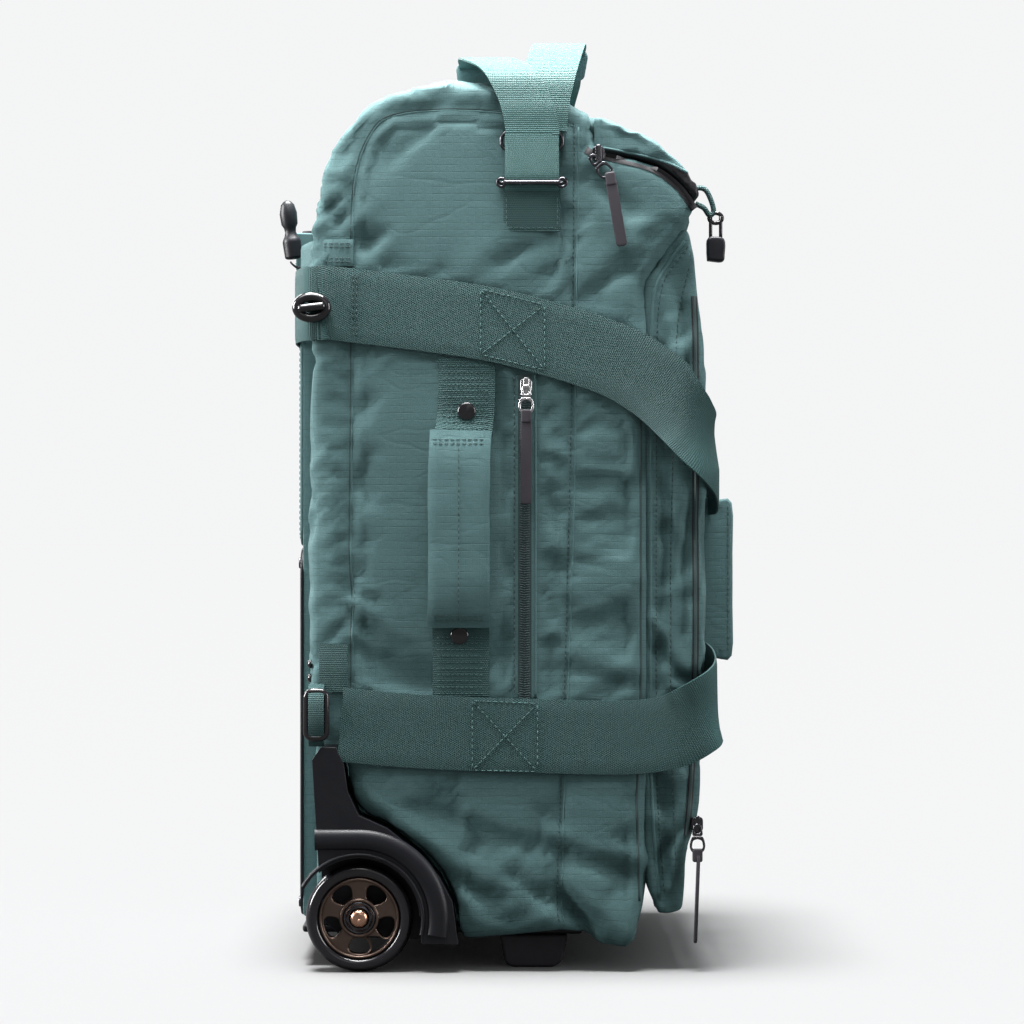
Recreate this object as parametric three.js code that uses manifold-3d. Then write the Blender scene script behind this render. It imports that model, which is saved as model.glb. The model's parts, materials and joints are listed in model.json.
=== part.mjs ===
// Rolling duffel bag standing upright on two wheels and two feet.
// Millimetres, +Z up, +X the front of the bag, -X the side with the wheels and the trolley.
// "right" pieces are on the -Y side, "left" pieces on the +Y side.
import * as THREE from "three";
import { mergeVertices } from "three/addons/utils/BufferGeometryUtils.js";
import Module from "manifold-3d";

const wasm = await Module();
wasm.setup();

// ---- driving dimensions ----
const GAP = 0.4; // clearance between neighbouring pieces
const HALF_WIDTH = 172; // outer face of each side panel
const SKIN = 3.5; // padded fabric wall
const INNER = HALF_WIDTH - SKIN - GAP; // half width of what lies between the side panels
const BACK_X = -140; // rear edge of the side panels
const BACK_WALL_X = -134; // outer face of the inner back wall
const TOP_Z = 624; // highest line of the body
const FLAP_HINGE = [58, 606];
const POCKET_HALF_WIDTH = 166.5;
const POCKET_BACK_X = 96;
const POCKET_FRONT_X = 138;
const FLOOR_Z = 30; // underside of the fabric bottom
const STRAP_WIDTH = 52;
const STRAP_THICK = 2.4;
const STRAP_Y = -175.8; // middle of a strap lying on the right side panel
const STRAP_FRONT_X = 147; // middle of a strap lying across the front
const WHEEL = { x: -108, z: 38, radius: 38, width: 24, outerY: -175 };
const AXLE_RADIUS = 4;
const HUB_RADIUS = 28.5;
const BEARING_RADIUS = 11;
const OPENING_RADIUS = 6.2;
const ARCH_RADIUS = 43;
const HOUSING = { innerY: -144, wallY: -148.5, outerY: -177 };
const TUBE = { x: -143, y: 62, bottomZ: 76, topZ: 500, depth: 14, breadth: 26, wall: 1.5 };
const TUBE_STEP = 3.6; // each inner tube is this much smaller than the one around it
const GRIP = { bottomZ: 509, topZ: 531, halfWidth: 88, backX: -154, frontX: -137 };
const BUTTON = { halfWidth: 18, halfDepth: 4, depth: 6, proud: 1.5 };
const HAUL_WIDTH = 38;
const HAUL_ANCHOR = { x: 14, z: 590 };
const CORD_RADIUS = 0.7;
const PULL = { width: 11, length: 62, thick: 2.4 };

const finish = (color, roughness, metalness = 0) =>
  new THREE.MeshStandardMaterial({ color, roughness, metalness });
const FABRIC = finish(0x4f6f6e, 0.85);
const WEBBING = finish(0x2f504e, 0.7);
const BLACK_PLASTIC = finish(0x26252a, 0.5);
const GLOSS_BLACK = finish(0x141316, 0.25);
const TYRE = finish(0x1b191d, 0.3);
const BRONZE = finish(0x584840, 0.4, 0.8);
const STEEL = finish(0x8a8a8e, 0.35, 1);
const GUNMETAL = finish(0x3b3b40, 0.3, 1);
const COPPER = finish(0x9a6a4c, 0.3, 1);
const ALUMINIUM = finish(0x8d8f92, 0.4, 1);
const RUBBER = finish(0x2a262c, 0.75);

const bag = new THREE.Group();

// ---- helpers ----

// A closed geometry holding only positions, with its faces turned outwards.
function closed(geometry) {
  const bare = geometry.clone();
  for (const name of Object.keys(bare.attributes)) {
    if (name !== "position") bare.deleteAttribute(name);
  }
  const merged = mergeVertices(bare, 1e-4);
  const at = (i) => new THREE.Vector3().fromBufferAttribute(merged.attributes.position, i);
  const index = merged.index.array;
  let volume = 0;
  for (let i = 0; i < index.length; i += 3) {
    volume += at(index[i]).dot(at(index[i + 1]).cross(at(index[i + 2])));
  }
  if (volume < 0) index.reverse();
  return merged;
}

function toSolid(geometry) {
  const shell = closed(geometry);
  return new wasm.Manifold(
    new wasm.Mesh({
      numProp: 3,
      vertProperties: shell.attributes.position.array,
      triVerts: new Uint32Array(shell.index.array),
    }),
  );
}

function toGeometry(solid) {
  const mesh = solid.getMesh();
  const geometry = new THREE.BufferGeometry();
  geometry.setAttribute("position", new THREE.BufferAttribute(mesh.vertProperties, 3));
  geometry.setIndex(new THREE.BufferAttribute(mesh.triVerts, 1));
  return geometry;
}

const cut = (body, ...tools) =>
  toGeometry(tools.reduce((rest, tool) => rest.subtract(toSolid(tool)), toSolid(body)));
const join = (...parts) =>
  toGeometry(parts.map(toSolid).reduce((whole, part) => whole.add(part)));

function add(name, geometry, material, mirrored = false) {
  const mesh = new THREE.Mesh(closed(geometry), material);
  mesh.name = name;
  if (mirrored) mesh.scale.y = -1;
  bag.add(mesh);
}

// One copy on the right and its mirror image on the left.
function addPair(name, geometry, material) {
  add(`${name}_right`, geometry, material);
  add(`${name}_left`, geometry, material, true);
}

const outlineOf = (points) => new THREE.Shape(points.map(([a, b]) => new THREE.Vector2(a, b)));

function roundedRect(centreA, centreB, sizeA, sizeB, radius) {
  const [a, b, r] = [sizeA / 2 - radius, sizeB / 2 - radius, radius];
  const shape = new THREE.Shape();
  shape.absarc(centreA + a, centreB + b, r, 0, Math.PI / 2, false);
  shape.absarc(centreA - a, centreB + b, r, Math.PI / 2, Math.PI, false);
  shape.absarc(centreA - a, centreB - b, r, Math.PI, 1.5 * Math.PI, false);
  shape.absarc(centreA + a, centreB - b, r, 1.5 * Math.PI, 2 * Math.PI, false);
  shape.closePath();
  return shape;
}

// The outline is in (x, z) and the plate runs from yLow to yHigh.
function plateAlongY(outline, yLow, yHigh) {
  const shape = outline instanceof THREE.Shape ? outline : outlineOf(outline);
  const options = { depth: yHigh - yLow, bevelEnabled: false, curveSegments: 2 };
  return new THREE.ExtrudeGeometry(shape, options).rotateX(Math.PI / 2).translate(0, yHigh, 0);
}

// The outline is in (x, y) and the plate runs from zLow to zHigh.
function plateAlongZ(outline, zLow, zHigh) {
  const shape = outline instanceof THREE.Shape ? outline : outlineOf(outline);
  const options = { depth: zHigh - zLow, bevelEnabled: false, curveSegments: 2 };
  return new THREE.ExtrudeGeometry(shape, options).translate(0, 0, zLow);
}

function box(xLow, xHigh, yLow, yHigh, zLow, zHigh) {
  return new THREE.BoxGeometry(xHigh - xLow, yHigh - yLow, zHigh - zLow).translate(
    (xLow + xHigh) / 2,
    (yLow + yHigh) / 2,
    (zLow + zHigh) / 2,
  );
}

// A turned piece about an axis along Y: the profile lists [radius, y].
function turned(profile, segments, x, z) {
  const points = profile.map(([radius, y]) => new THREE.Vector2(radius, y));
  return new THREE.LatheGeometry(points, segments).translate(x, 0, z);
}

const cylinderY = (radius, yLow, yHigh, x, z, sides = 20) =>
  new THREE.CylinderGeometry(radius, radius, yHigh - yLow, sides).translate(
    x,
    (yLow + yHigh) / 2,
    z,
  );

// Webbing of one width along stations [x, y, z, facing]. Facing is the direction of its outer
// face, in degrees round Z from +X; a station with the word "up" faces +Z at its own slope.
function webbing(stations, width, thick, loop = false) {
  const count = stations.length;
  const point = (i) => new THREE.Vector3(...stations[(i + count) % count].slice(0, 3));
  const corners = [];
  stations.forEach((station, i) => {
    const before = loop || i > 0 ? point(i - 1) : point(i);
    const after = loop || i < count - 1 ? point(i + 1) : point(i);
    const along = after.sub(before).normalize();
    let across;
    let out;
    if (station[3] === "up") {
      across = new THREE.Vector3(1, 0, 0);
      out = new THREE.Vector3().crossVectors(across, along).normalize();
    } else {
      const turn = THREE.MathUtils.degToRad(station[3]);
      out = new THREE.Vector3(Math.cos(turn), Math.sin(turn), 0);
      across = new THREE.Vector3().crossVectors(along, out).normalize();
      out.crossVectors(across, along).normalize();
    }
    for (const [side, face] of [[1, 1], [1, -1], [-1, -1], [-1, 1]]) {
      const corner = point(i).addScaledVector(across, (side * width) / 2);
      corners.push(corner.addScaledVector(out, (face * thick) / 2));
    }
  });
  const faces = [];
  const quad = (a, b, c, d) => faces.push(a, b, c, a, c, d);
  for (let i = 0; i < (loop ? count : count - 1); i += 1) {
    const here = 4 * i;
    const next = 4 * ((i + 1) % count);
    for (let side = 0; side < 4; side += 1) {
      const other = (side + 1) % 4;
      quad(here + side, here + other, next + other, next + side);
    }
  }
  if (!loop) {
    const last = 4 * (count - 1);
    quad(3, 2, 1, 0);
    quad(last, last + 1, last + 2, last + 3);
  }
  const geometry = new THREE.BufferGeometry().setFromPoints(corners);
  geometry.setIndex(faces);
  return geometry;
}

// The other half of a path that runs from the bag's middle out to the right and round.
const mirrorStations = (stations) =>
  stations.map(([x, y, z, facing]) => [x, -y, z, facing === "up" ? "up" : 360 - facing]).reverse();

// ---- body walls ----

function sidePanel() {
  const topAndBack = [
    [-138.5, 161],
    [BACK_X, 166],
    [BACK_X, 505],
    [-136, 545],
    [-127, 582],
    [-110, 612],
    [-79, TOP_Z],
    [-30, 622],
    [57, 607],
  ];
  const zipLineAndFront = [
    [57, 578],
    [97, 571],
    [118, 557],
    [130, 541],
    [122, 529],
    [98, 490],
    [POCKET_BACK_X - 1, 440],
    [POCKET_BACK_X - 1, 60],
    [88, 24],
  ];
  const aroundHousing = [
    [-36, 22],
    [-39, 52],
    [-48, 70],
    [-61, 86],
    [-86, 105],
    [-105, 114],
    [-113, 130],
    [-116, 149],
    [-120, 161],
  ];
  return plateAlongY(
    [...topAndBack, ...zipLineAndFront, ...aroundHousing],
    -HALF_WIDTH,
    -HALF_WIDTH + SKIN,
  );
}

// A wall of one thickness whose outer line is given in (x, z), across the width of the bag.
function bentWall(outer, inner) {
  return plateAlongY([...outer, ...inner.reverse()], -INNER, INNER);
}

function topPanel() {
  return bentWall(
    [
      [-134, 533],
      [-126, 579],
      [-109, 608],
      [-79, 620],
      [-30, 618],
      [57, 603.5],
    ],
    [
      [-130, 533],
      [-122, 577],
      [-106, 604.5],
      [-78, 616],
      [-30, 614],
      [57, 599.5],
    ],
  );
}

function frontPanel() {
  return bentWall(
    [
      [92, 36],
      [92, 489],
      [115, 529],
      [124, 546],
    ],
    [
      [88.5, 36],
      [88.5, 490],
      [111.5, 531],
      [120.5, 549],
    ],
  );
}

// Between the wheel housings the bottom is narrower.
function bottomOutline(halfFront, halfRear, rearX, frontX) {
  const stepX = -34;
  return [
    [frontX, halfFront],
    [stepX, halfFront],
    [stepX, halfRear],
    [rearX, halfRear],
    [rearX, -halfRear],
    [stepX, -halfRear],
    [stepX, -halfFront],
    [frontX, -halfFront],
  ];
}

function topFlap() {
  const [hingeX, hingeZ] = FLAP_HINGE;
  const lid = [
    [hingeX, hingeZ],
    [90, 595],
    [110, 582],
    [127, 566],
    [134, 548],
    [131.5, 544],
    [119, 559.5],
    [97.6, 573.5],
    [hingeX, 580],
  ];
  const hollow = [
    [hingeX + 4, 601],
    [89, 591],
    [107, 578.5],
    [123, 563],
    [128, 552],
    [119, 540],
    [62, 560],
  ];
  const half = HALF_WIDTH - 1;
  return cut(plateAlongY(lid, -half, half), plateAlongY(hollow, -half + 4, half - 4));
}

function frontPocket() {
  const shell = [
    [POCKET_BACK_X, 46],
    [127, 42],
    [136, 54],
    [POCKET_FRONT_X, 440],
    [136, 505],
    [131.5, 531],
    [124, 524],
    [100, 489],
    [POCKET_BACK_X, 470],
  ];
  const hollow = [
    [POCKET_BACK_X - 5, 50],
    [125, 46],
    [132, 56],
    [POCKET_FRONT_X - 4, 440],
    [131, 505],
    [128.5, 521],
    [105, 488],
    [POCKET_BACK_X - 5, 464],
  ];
  const half = POCKET_HALF_WIDTH;
  return cut(plateAlongY(shell, -half, half), plateAlongY(hollow, -half + SKIN, half - SKIN));
}

function bodyWalls() {
  addPair("side_panel", sidePanel(), FABRIC);
  add("back_panel", box(BACK_WALL_X, BACK_WALL_X + SKIN, -INNER, INNER, 165, 532.5), FABRIC);
  add("top_panel", topPanel(), FABRIC);
  add("front_panel", frontPanel(), FABRIC);
  const bottom = bottomOutline(INNER, 140, -130, 87.5);
  add("bottom_panel", plateAlongZ(bottom, FLOOR_Z, FLOOR_Z + SKIN), FABRIC);
  add("top_flap", topFlap(), FABRIC);
  add("front_pocket", frontPocket(), FABRIC);
}

// ---- base and back shells ----

function baseAndBack() {
  const plate = bottomOutline(150, 140, -150, 50);
  add("base_tray", plateAlongZ(plate, 24, FLOOR_Z - GAP), BLACK_PLASTIC);
  const foot = [
    [-9, 23.6],
    [-5, 3],
    [0, 0],
    [30, 0],
    [36, 4],
    [40, 23.6],
  ];
  addPair("foot", plateAlongY(foot, -148, -122), BLACK_PLASTIC);
  const halfShell = 112;
  const shell = roundedRect(0, 165, 2 * halfShell, 268, 18);
  const toBack = new THREE.Matrix4().makeBasis(
    new THREE.Vector3(0, 1, 0),
    new THREE.Vector3(0, 0, 1),
    new THREE.Vector3(1, 0, 0),
  );
  const options = { depth: 3, bevelEnabled: false, curveSegments: 2 };
  const plateBack = new THREE.ExtrudeGeometry(shell, options).applyMatrix4(toBack);
  add("back_shell", plateBack.translate(-153.6, 0, 0), BLACK_PLASTIC);
  add("back_cover", box(-153.6, -150.6, -halfShell, halfShell, 300, 500), FABRIC);
}

// ---- wheels ----

function wheelHousing() {
  const outline = [
    [-141, 150],
    [-137, 85],
    [-134, 34],
    [-122, 22],
    [-38, 20],
    [-42, 50],
    [-51, 67],
    [-64, 83],
    [-88, 102],
    [-108, 111],
    [-116, 128],
    [-118.5, 147],
    [-124, 159],
    [-135, 159],
  ];
  const body = plateAlongY(outline, HOUSING.outerY, HOUSING.innerY);
  const well = cylinderY(ARCH_RADIUS, -190, HOUSING.wallY, WHEEL.x, WHEEL.z, 36);
  const wellMouth = box(-150, -64, -190, HOUSING.wallY, 0, 40);
  const bore = cylinderY(AXLE_RADIUS + GAP, -160, -130, WHEEL.x, WHEEL.z);
  return cut(body, well, wellMouth, bore);
}

function tyre() {
  const { radius, width, outerY } = WHEEL;
  const inner = HUB_RADIUS + GAP;
  const half = width / 2;
  const crown = [
    [inner, -half + 3],
    [33, -half],
    [36.5, -half + 3],
    [radius, -5],
    [radius, 5],
    [36.5, half - 3],
    [33, half],
    [inner, half - 3],
    [inner, -half + 3],
  ];
  return turned(crown, 36, WHEEL.x, WHEEL.z).translate(0, outerY + half, 0);
}

function hub() {
  const middleY = WHEEL.outerY + WHEEL.width / 2;
  const disc = [
    [BEARING_RADIUS + GAP, -8],
    [14, -8],
    [15, -6],
    [24, -6],
    [26, -8],
    [HUB_RADIUS, -8],
    [HUB_RADIUS, 8],
    [26, 8],
    [24, 6],
    [15, 6],
    [14, 8],
    [BEARING_RADIUS + GAP, 8],
    [BEARING_RADIUS + GAP, -8],
  ];
  const body = turned(disc, 25, WHEEL.x, WHEEL.z).translate(0, middleY, 0);
  const openings = [];
  for (let spoke = 0; spoke < 5; spoke += 1) {
    const angle = THREE.MathUtils.degToRad(270 + 72 * spoke);
    const x = WHEEL.x + 19.5 * Math.cos(angle);
    const z = WHEEL.z + 19.5 * Math.sin(angle);
    openings.push(cylinderY(OPENING_RADIUS, -190, -140, x, z, 8));
  }
  return cut(body, ...openings);
}

function wheels() {
  const outer = WHEEL.outerY;
  addPair("wheel_housing", wheelHousing(), BLACK_PLASTIC);
  addPair("tyre", tyre(), TYRE);
  addPair("wheel_hub", hub(), BRONZE);
  const race = [
    [AXLE_RADIUS + GAP, outer + 4.5],
    [BEARING_RADIUS, outer + 4.5],
    [BEARING_RADIUS, outer + 19.5],
    [AXLE_RADIUS + GAP, outer + 19.5],
    [AXLE_RADIUS + GAP, outer + 4.5],
  ];
  addPair("wheel_bearing", turned(race, 24, WHEEL.x, WHEEL.z), STEEL);
  const bolt = [
    [0, outer - 0.5],
    [3, outer],
    [6, outer + 2],
    [6.4, outer + 4],
    [AXLE_RADIUS, outer + 4],
    [AXLE_RADIUS, HOUSING.innerY + GAP],
    [7, HOUSING.innerY + GAP],
    [7, HOUSING.innerY + 3],
    [0, HOUSING.innerY + 3],
  ];
  addPair("wheel_axle", turned(bolt, 20, WHEEL.x, WHEEL.z), COPPER);
}

// ---- trolley ----

// One tube of the telescope; stage 0 is the fixed outer one.
function trolleyTube(stage, bottomZ, topZ) {
  const depth = TUBE.depth - stage * TUBE_STEP;
  const breadth = TUBE.breadth - stage * TUBE_STEP;
  const outside = roundedRect(TUBE.x, -TUBE.y, depth, breadth, 2);
  const body = plateAlongZ(outside, bottomZ, topZ);
  const bore = roundedRect(TUBE.x, -TUBE.y, depth - 2 * TUBE.wall, breadth - 2 * TUBE.wall, 1);
  return stage === 2 ? body : cut(body, plateAlongZ(bore, bottomZ - 1, topZ + 1));
}

function trolleyGrip() {
  const middleX = (GRIP.backX + GRIP.frontX) / 2;
  const depth = GRIP.frontX - GRIP.backX;
  const bar = plateAlongZ(
    roundedRect(middleX, 0, depth, 2 * GRIP.halfWidth, 7),
    GRIP.bottomZ,
    GRIP.topZ,
  );
  const { halfWidth, halfDepth, depth: sunk } = BUTTON;
  const pocket = box(
    middleX - halfDepth - GAP,
    middleX + halfDepth + GAP,
    -halfWidth - GAP,
    halfWidth + GAP,
    GRIP.topZ - sunk,
    GRIP.topZ + 5,
  );
  return cut(bar, pocket);
}

// Open at the front, where it is sewn to the back of the bag.
function gripSleeve() {
  const [back, front, half, wall] = [-158, -136.5, 91.5, 2.6];
  const plan = [
    [back, -half],
    [front, -half],
    [front, -half + wall],
    [back + wall, -half + wall],
    [back + wall, half - wall],
    [front, half - wall],
    [front, half],
    [back, half],
  ];
  return plateAlongZ(plan, 501.5, 529);
}

function trolley() {
  const { x, y, bottomZ, topZ } = TUBE;
  addPair("trolley_outer_tube", trolleyTube(0, bottomZ, topZ), ALUMINIUM);
  addPair("trolley_middle_tube", trolleyTube(1, bottomZ + 2, topZ + 5), ALUMINIUM);
  addPair("trolley_inner_tube", trolleyTube(2, bottomZ + 4, GRIP.bottomZ - GAP), ALUMINIUM);
  const bracket = roundedRect(x, 0, TUBE.depth, 2 * y + TUBE.breadth + 8, 3);
  add("trolley_bracket", plateAlongZ(bracket, bottomZ - 12, bottomZ - GAP), BLACK_PLASTIC);
  const holes = [-y, y].map((centreY) =>
    plateAlongZ(
      roundedRect(x, centreY, TUBE.depth - TUBE_STEP + 1, TUBE.breadth - TUBE_STEP + 1, 2),
      topZ - 5,
      topZ + 10,
    ),
  );
  const rim = plateAlongZ(roundedRect(x, 0, TUBE.depth + 2, 2 * y + 46, 4), topZ + GAP, topZ + 4.4);
  add("trolley_bezel", cut(rim, ...holes), BLACK_PLASTIC);
  add("trolley_grip", trolleyGrip(), BLACK_PLASTIC);
  const middleX = (GRIP.backX + GRIP.frontX) / 2;
  const cap = roundedRect(middleX, 0, 2 * BUTTON.halfDepth, 2 * BUTTON.halfWidth, 2.5);
  const capBottom = GRIP.topZ - BUTTON.depth + 2.8;
  add("grip_button", plateAlongZ(cap, capBottom, GRIP.topZ + BUTTON.proud), GLOSS_BLACK);
  add("grip_sleeve", gripSleeve(), FABRIC);
}

// ---- straps ----

function compressionStraps() {
  const upperHalf = [
    [-156, 0, 472, 180],
    [-156, -110, 472, 180],
    [-152, -148, 472, 192],
    [-145, -172.5, 472, 222],
    [-137, -176.2, 472, 252],
    [-120, STRAP_Y, 471.5, 270],
    [-30, STRAP_Y, 460, 270],
    [20, STRAP_Y, 449, 270],
    [75, STRAP_Y, 431, 270],
    [108, STRAP_Y - 0.4, 412, 272],
    [131, -176.4, 391, 284],
    [143.5, -171, 378, 318],
    [STRAP_FRONT_X, -154, 370, 350],
    [STRAP_FRONT_X, -90, 363, 360],
    [STRAP_FRONT_X, 0, 362, 360],
  ];
  const upper = [...upperHalf, ...mirrorStations(upperHalf.slice(1, -1))];
  add("upper_strap", webbing(upper, STRAP_WIDTH, STRAP_THICK, true), WEBBING);
  const lowerHalf = [
    [-113, STRAP_Y, 174, 270],
    [-60, STRAP_Y, 170, 270],
    [20, STRAP_Y, 167, 270],
    [80, STRAP_Y, 166, 270],
    [112, STRAP_Y - 0.4, 170, 272],
    [132, -176.4, 180, 284],
    [143.5, -170.5, 188, 318],
    [STRAP_FRONT_X, -154, 194, 350],
    [STRAP_FRONT_X, -90, 199, 360],
    [STRAP_FRONT_X, 0, 200, 360],
  ];
  const lower = [...lowerHalf, ...mirrorStations(lowerHalf.slice(0, -1))];
  add("lower_strap", webbing(lower, STRAP_WIDTH, STRAP_THICK), WEBBING);
}

function strapHardware() {
  const oval = new THREE.TorusGeometry(9.5, 3, 8, 24).rotateX(Math.PI / 2).scale(1.15, 1, 0.92);
  addPair("strap_hook", oval.translate(-141, -182, 469), GLOSS_BLACK);
  const frame = roundedRect(-138, 182, 17, 36, 3);
  frame.holes.push(roundedRect(-138, 182, 11, 29, 1.5));
  addPair("rear_ring", plateAlongY(frame, -178, -174.6), GUNMETAL);
}

function sideHandles() {
  const path = [
    [-35, -174.2, 199, 270],
    [-35, -174.2, 238, 270],
    [-36, -182, 254, 270],
    [-37, -184.5, 275, 270],
    [-37, -184.5, 350, 270],
    [-36, -182, 372, 270],
    [-34, -174.2, 390, 270],
    [-33, -174.2, 427, 270],
  ];
  addPair("side_handle", webbing(path, 42, 3.2), WEBBING);
}

// ---- haul handles over the top ----

// Half of a loop from its anchor on the right side to the middle of the bag.
function haulPath(topX, topZ, anchorX, layerY) {
  const z = HAUL_ANCHOR.z;
  const lean = (share) => anchorX + (topX - anchorX) * share;
  return [
    [anchorX, layerY, z + 6, "up"],
    [lean(0.3), layerY, z + 24, "up"],
    [lean(0.75), layerY + 5, z + 46, "up"],
    [lean(0.9), layerY + 28, topZ - 7, "up"],
    [lean(1), layerY + 66, topZ - 1, "up"],
    [topX, -68, topZ, "up"],
    [topX, 0, topZ, "up"],
  ];
}

function haulHandle(name, topX, topZ, anchorX, layerY) {
  const half = haulPath(topX, topZ, anchorX, layerY);
  const loop = [...half, ...mirrorStations(half.slice(0, -1))];
  add(`haul_strap_${name}`, webbing(loop, HAUL_WIDTH, STRAP_THICK), WEBBING);
  const wrap = plateAlongY(roundedRect(topX, topZ, HAUL_WIDTH + 4, 11, 4), -62, 62);
  const slot = box(
    topX - HAUL_WIDTH / 2 - GAP,
    topX + HAUL_WIDTH / 2 + GAP,
    -70,
    70,
    topZ - STRAP_THICK / 2 - GAP,
    topZ + STRAP_THICK / 2 + GAP,
  );
  add(`haul_wrap_${name}`, cut(wrap, slot), FABRIC);
}

function haulHandles() {
  haulHandle("rear", -20, 654, 13, -178.4);
  haulHandle("front", 35, 664, 20, -174);
  const { x } = HAUL_ANCHOR;
  const ring = roundedRect(x, 586, 45, 13, 6);
  ring.holes.push(roundedRect(x, 586, 39.4, 7, 3));
  addPair("haul_ring", plateAlongY(ring, -177.4, -174.2), GUNMETAL);
  const bar = roundedRect(x, 557, 46, 12, 4);
  for (const offset of [-3, 3]) bar.holes.push(roundedRect(x, 557 + offset, 39, 3.4, 1));
  addPair("haul_slider", plateAlongY(bar, -177.4, -174.2), GUNMETAL);
}

// ---- zips ----

// A slider on a face that looks towards -Y, with its bridge standing up on the middle.
function zipSlider(x, y, z) {
  const bodyPlate = roundedRect(x, z, 9, 13, 3);
  const bridge = box(x - 1.5, x + 1.5, y - 4.6, y - 2, z - 4.5, z + 4.5);
  return join(plateAlongY(bodyPlate, y - 2.6, y), bridge);
}

// A pull hanging below the point given, which is the top of its eye.
function zipPull(x, y, z, length = PULL.length, lean = 0) {
  const strip = roundedRect(0, -length / 2 - 9, PULL.width, length, 3);
  const eye = roundedRect(0, -6.6, 8, 13, 3.5);
  eye.holes.push(roundedRect(0, -5.8, 4, 7, 1.8));
  const half = PULL.thick / 2;
  return join(plateAlongY(strip, -half, half), plateAlongY(eye, -half, half))
    .rotateY(-lean)
    .translate(x, y, z);
}

function zips() {
  const face = -HALF_WIDTH - GAP;
  add("side_zip_slider", zipSlider(10, face, 414), STEEL);
  add("side_zip_pull", zipPull(10, face - 6.4, 406), RUBBER);
  const pocketFace = -POCKET_HALF_WIDTH - GAP;
  add("front_zip_slider", zipSlider(131, pocketFace, 104), STEEL);
  add("front_zip_pull", zipPull(131, pocketFace - 4, 96), RUBBER);
  add("main_zip_slider", zipSlider(62, face, 573), STEEL);
  add("main_zip_pull", zipPull(65, face - 6.4, 572, 50, 0.17), RUBBER);
}

// ---- small fittings ----

function fittings() {
  const grab = plateAlongZ(roundedRect(158.2, 0, 17, 9, 3), 214, 334);
  const tabs = [230, 322].map((z) => box(POCKET_FRONT_X + GAP, 152, -3, 3, z, z + 12));
  add("front_grab_handle", join(grab, ...tabs), FABRIC);
  const profile = [
    [0, 0],
    [6.2, 0.6],
    [6.8, 14],
    [5, 17],
    [4, 20],
    [4.4, 23],
    [6, 26],
    [6.4, 34],
    [5, 40],
    [2.4, 43],
    [0, 43.6],
  ];
  const toggle = turned(profile, 16, 0, 0).rotateX(Math.PI / 2).rotateY(-0.12);
  add("toggle", toggle.translate(-159, -99.5, 509), BLACK_PLASTIC);
  add("toggle_cord", toggleCord(), RUBBER);
  const hook = plateAlongY(roundedRect(145.5, 511, 12, 15, 3), -152, -138);
  const rods = [-149, -142].map((y) => box(144, 146.4, y, y + 2.4, 516, 538));
  const eye = box(143.6, 146.8, -149, -139.6, 535, 539);
  add("front_hook", join(hook, ...rods, eye), BLACK_PLASTIC);
}

// A short elastic loop: out of the grip sleeve, under the toggle and back into the sleeve.
function toggleCord() {
  const route = [
    [-150, -92.3, 504.5],
    [-153, -94.8, 503.4],
    [-157, -96.4, 503.8],
    [-160.4, -97.3, 505.9],
    [-161.2, -99.5, 507],
    [-160.4, -101.8, 505.9],
    [-157, -102.2, 503],
    [-153, -100.4, 501.6],
    [-149.4, -96.8, 501.6],
    [-147, -92.3, 503.2],
  ].map(([x, y, z]) => new THREE.Vector3(x, y, z));
  const section = new THREE.Shape().absarc(0, 0, CORD_RADIUS, 0, 2 * Math.PI, false);
  const extrudePath = new THREE.CatmullRomCurve3(route);
  const options = { steps: 18, extrudePath, curveSegments: 4, bevelEnabled: false };
  return new THREE.ExtrudeGeometry(section, options);
}

bodyWalls();
baseAndBack();
wheels();
trolley();
compressionStraps();
strapHardware();
sideHandles();
haulHandles();
zips();
fittings();

// The origin is on the floor under the middle of the bag, its free toggle left out.
const SLEEVE_BACK_X = -158;
const GRAB_FRONT_X = 166.7;
bag.position.x = -(SLEEVE_BACK_X + GRAB_FRONT_X) / 2;
const part = new THREE.Group();
part.add(bag);

export default part;
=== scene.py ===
"""Looks of the rolling duffel bag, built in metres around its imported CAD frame."""

import json
import math

import bmesh
import bpy
import numpy as np
from mathutils import Matrix, Vector, noise
from mathutils.bvhtree import BVHTree

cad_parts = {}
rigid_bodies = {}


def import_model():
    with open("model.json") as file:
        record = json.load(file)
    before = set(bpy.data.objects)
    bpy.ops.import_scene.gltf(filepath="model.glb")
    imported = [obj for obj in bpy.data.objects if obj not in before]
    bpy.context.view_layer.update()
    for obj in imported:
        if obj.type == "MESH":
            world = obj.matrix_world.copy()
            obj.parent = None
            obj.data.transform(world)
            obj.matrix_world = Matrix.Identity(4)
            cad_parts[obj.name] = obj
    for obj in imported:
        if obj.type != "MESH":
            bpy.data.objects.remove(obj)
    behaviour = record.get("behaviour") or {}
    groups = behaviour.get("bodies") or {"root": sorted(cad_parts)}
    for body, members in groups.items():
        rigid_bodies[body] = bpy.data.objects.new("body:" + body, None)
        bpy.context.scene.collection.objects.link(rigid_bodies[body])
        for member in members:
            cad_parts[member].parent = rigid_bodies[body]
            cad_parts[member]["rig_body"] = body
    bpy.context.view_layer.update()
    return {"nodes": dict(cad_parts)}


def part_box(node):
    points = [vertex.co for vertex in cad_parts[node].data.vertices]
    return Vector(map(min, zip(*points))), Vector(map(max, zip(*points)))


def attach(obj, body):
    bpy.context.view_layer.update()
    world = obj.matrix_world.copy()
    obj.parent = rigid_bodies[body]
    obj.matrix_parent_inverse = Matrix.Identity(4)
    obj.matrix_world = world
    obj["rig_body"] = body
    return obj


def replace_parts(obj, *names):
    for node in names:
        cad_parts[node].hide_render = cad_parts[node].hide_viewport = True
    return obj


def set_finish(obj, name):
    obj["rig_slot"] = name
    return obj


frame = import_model()

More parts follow.
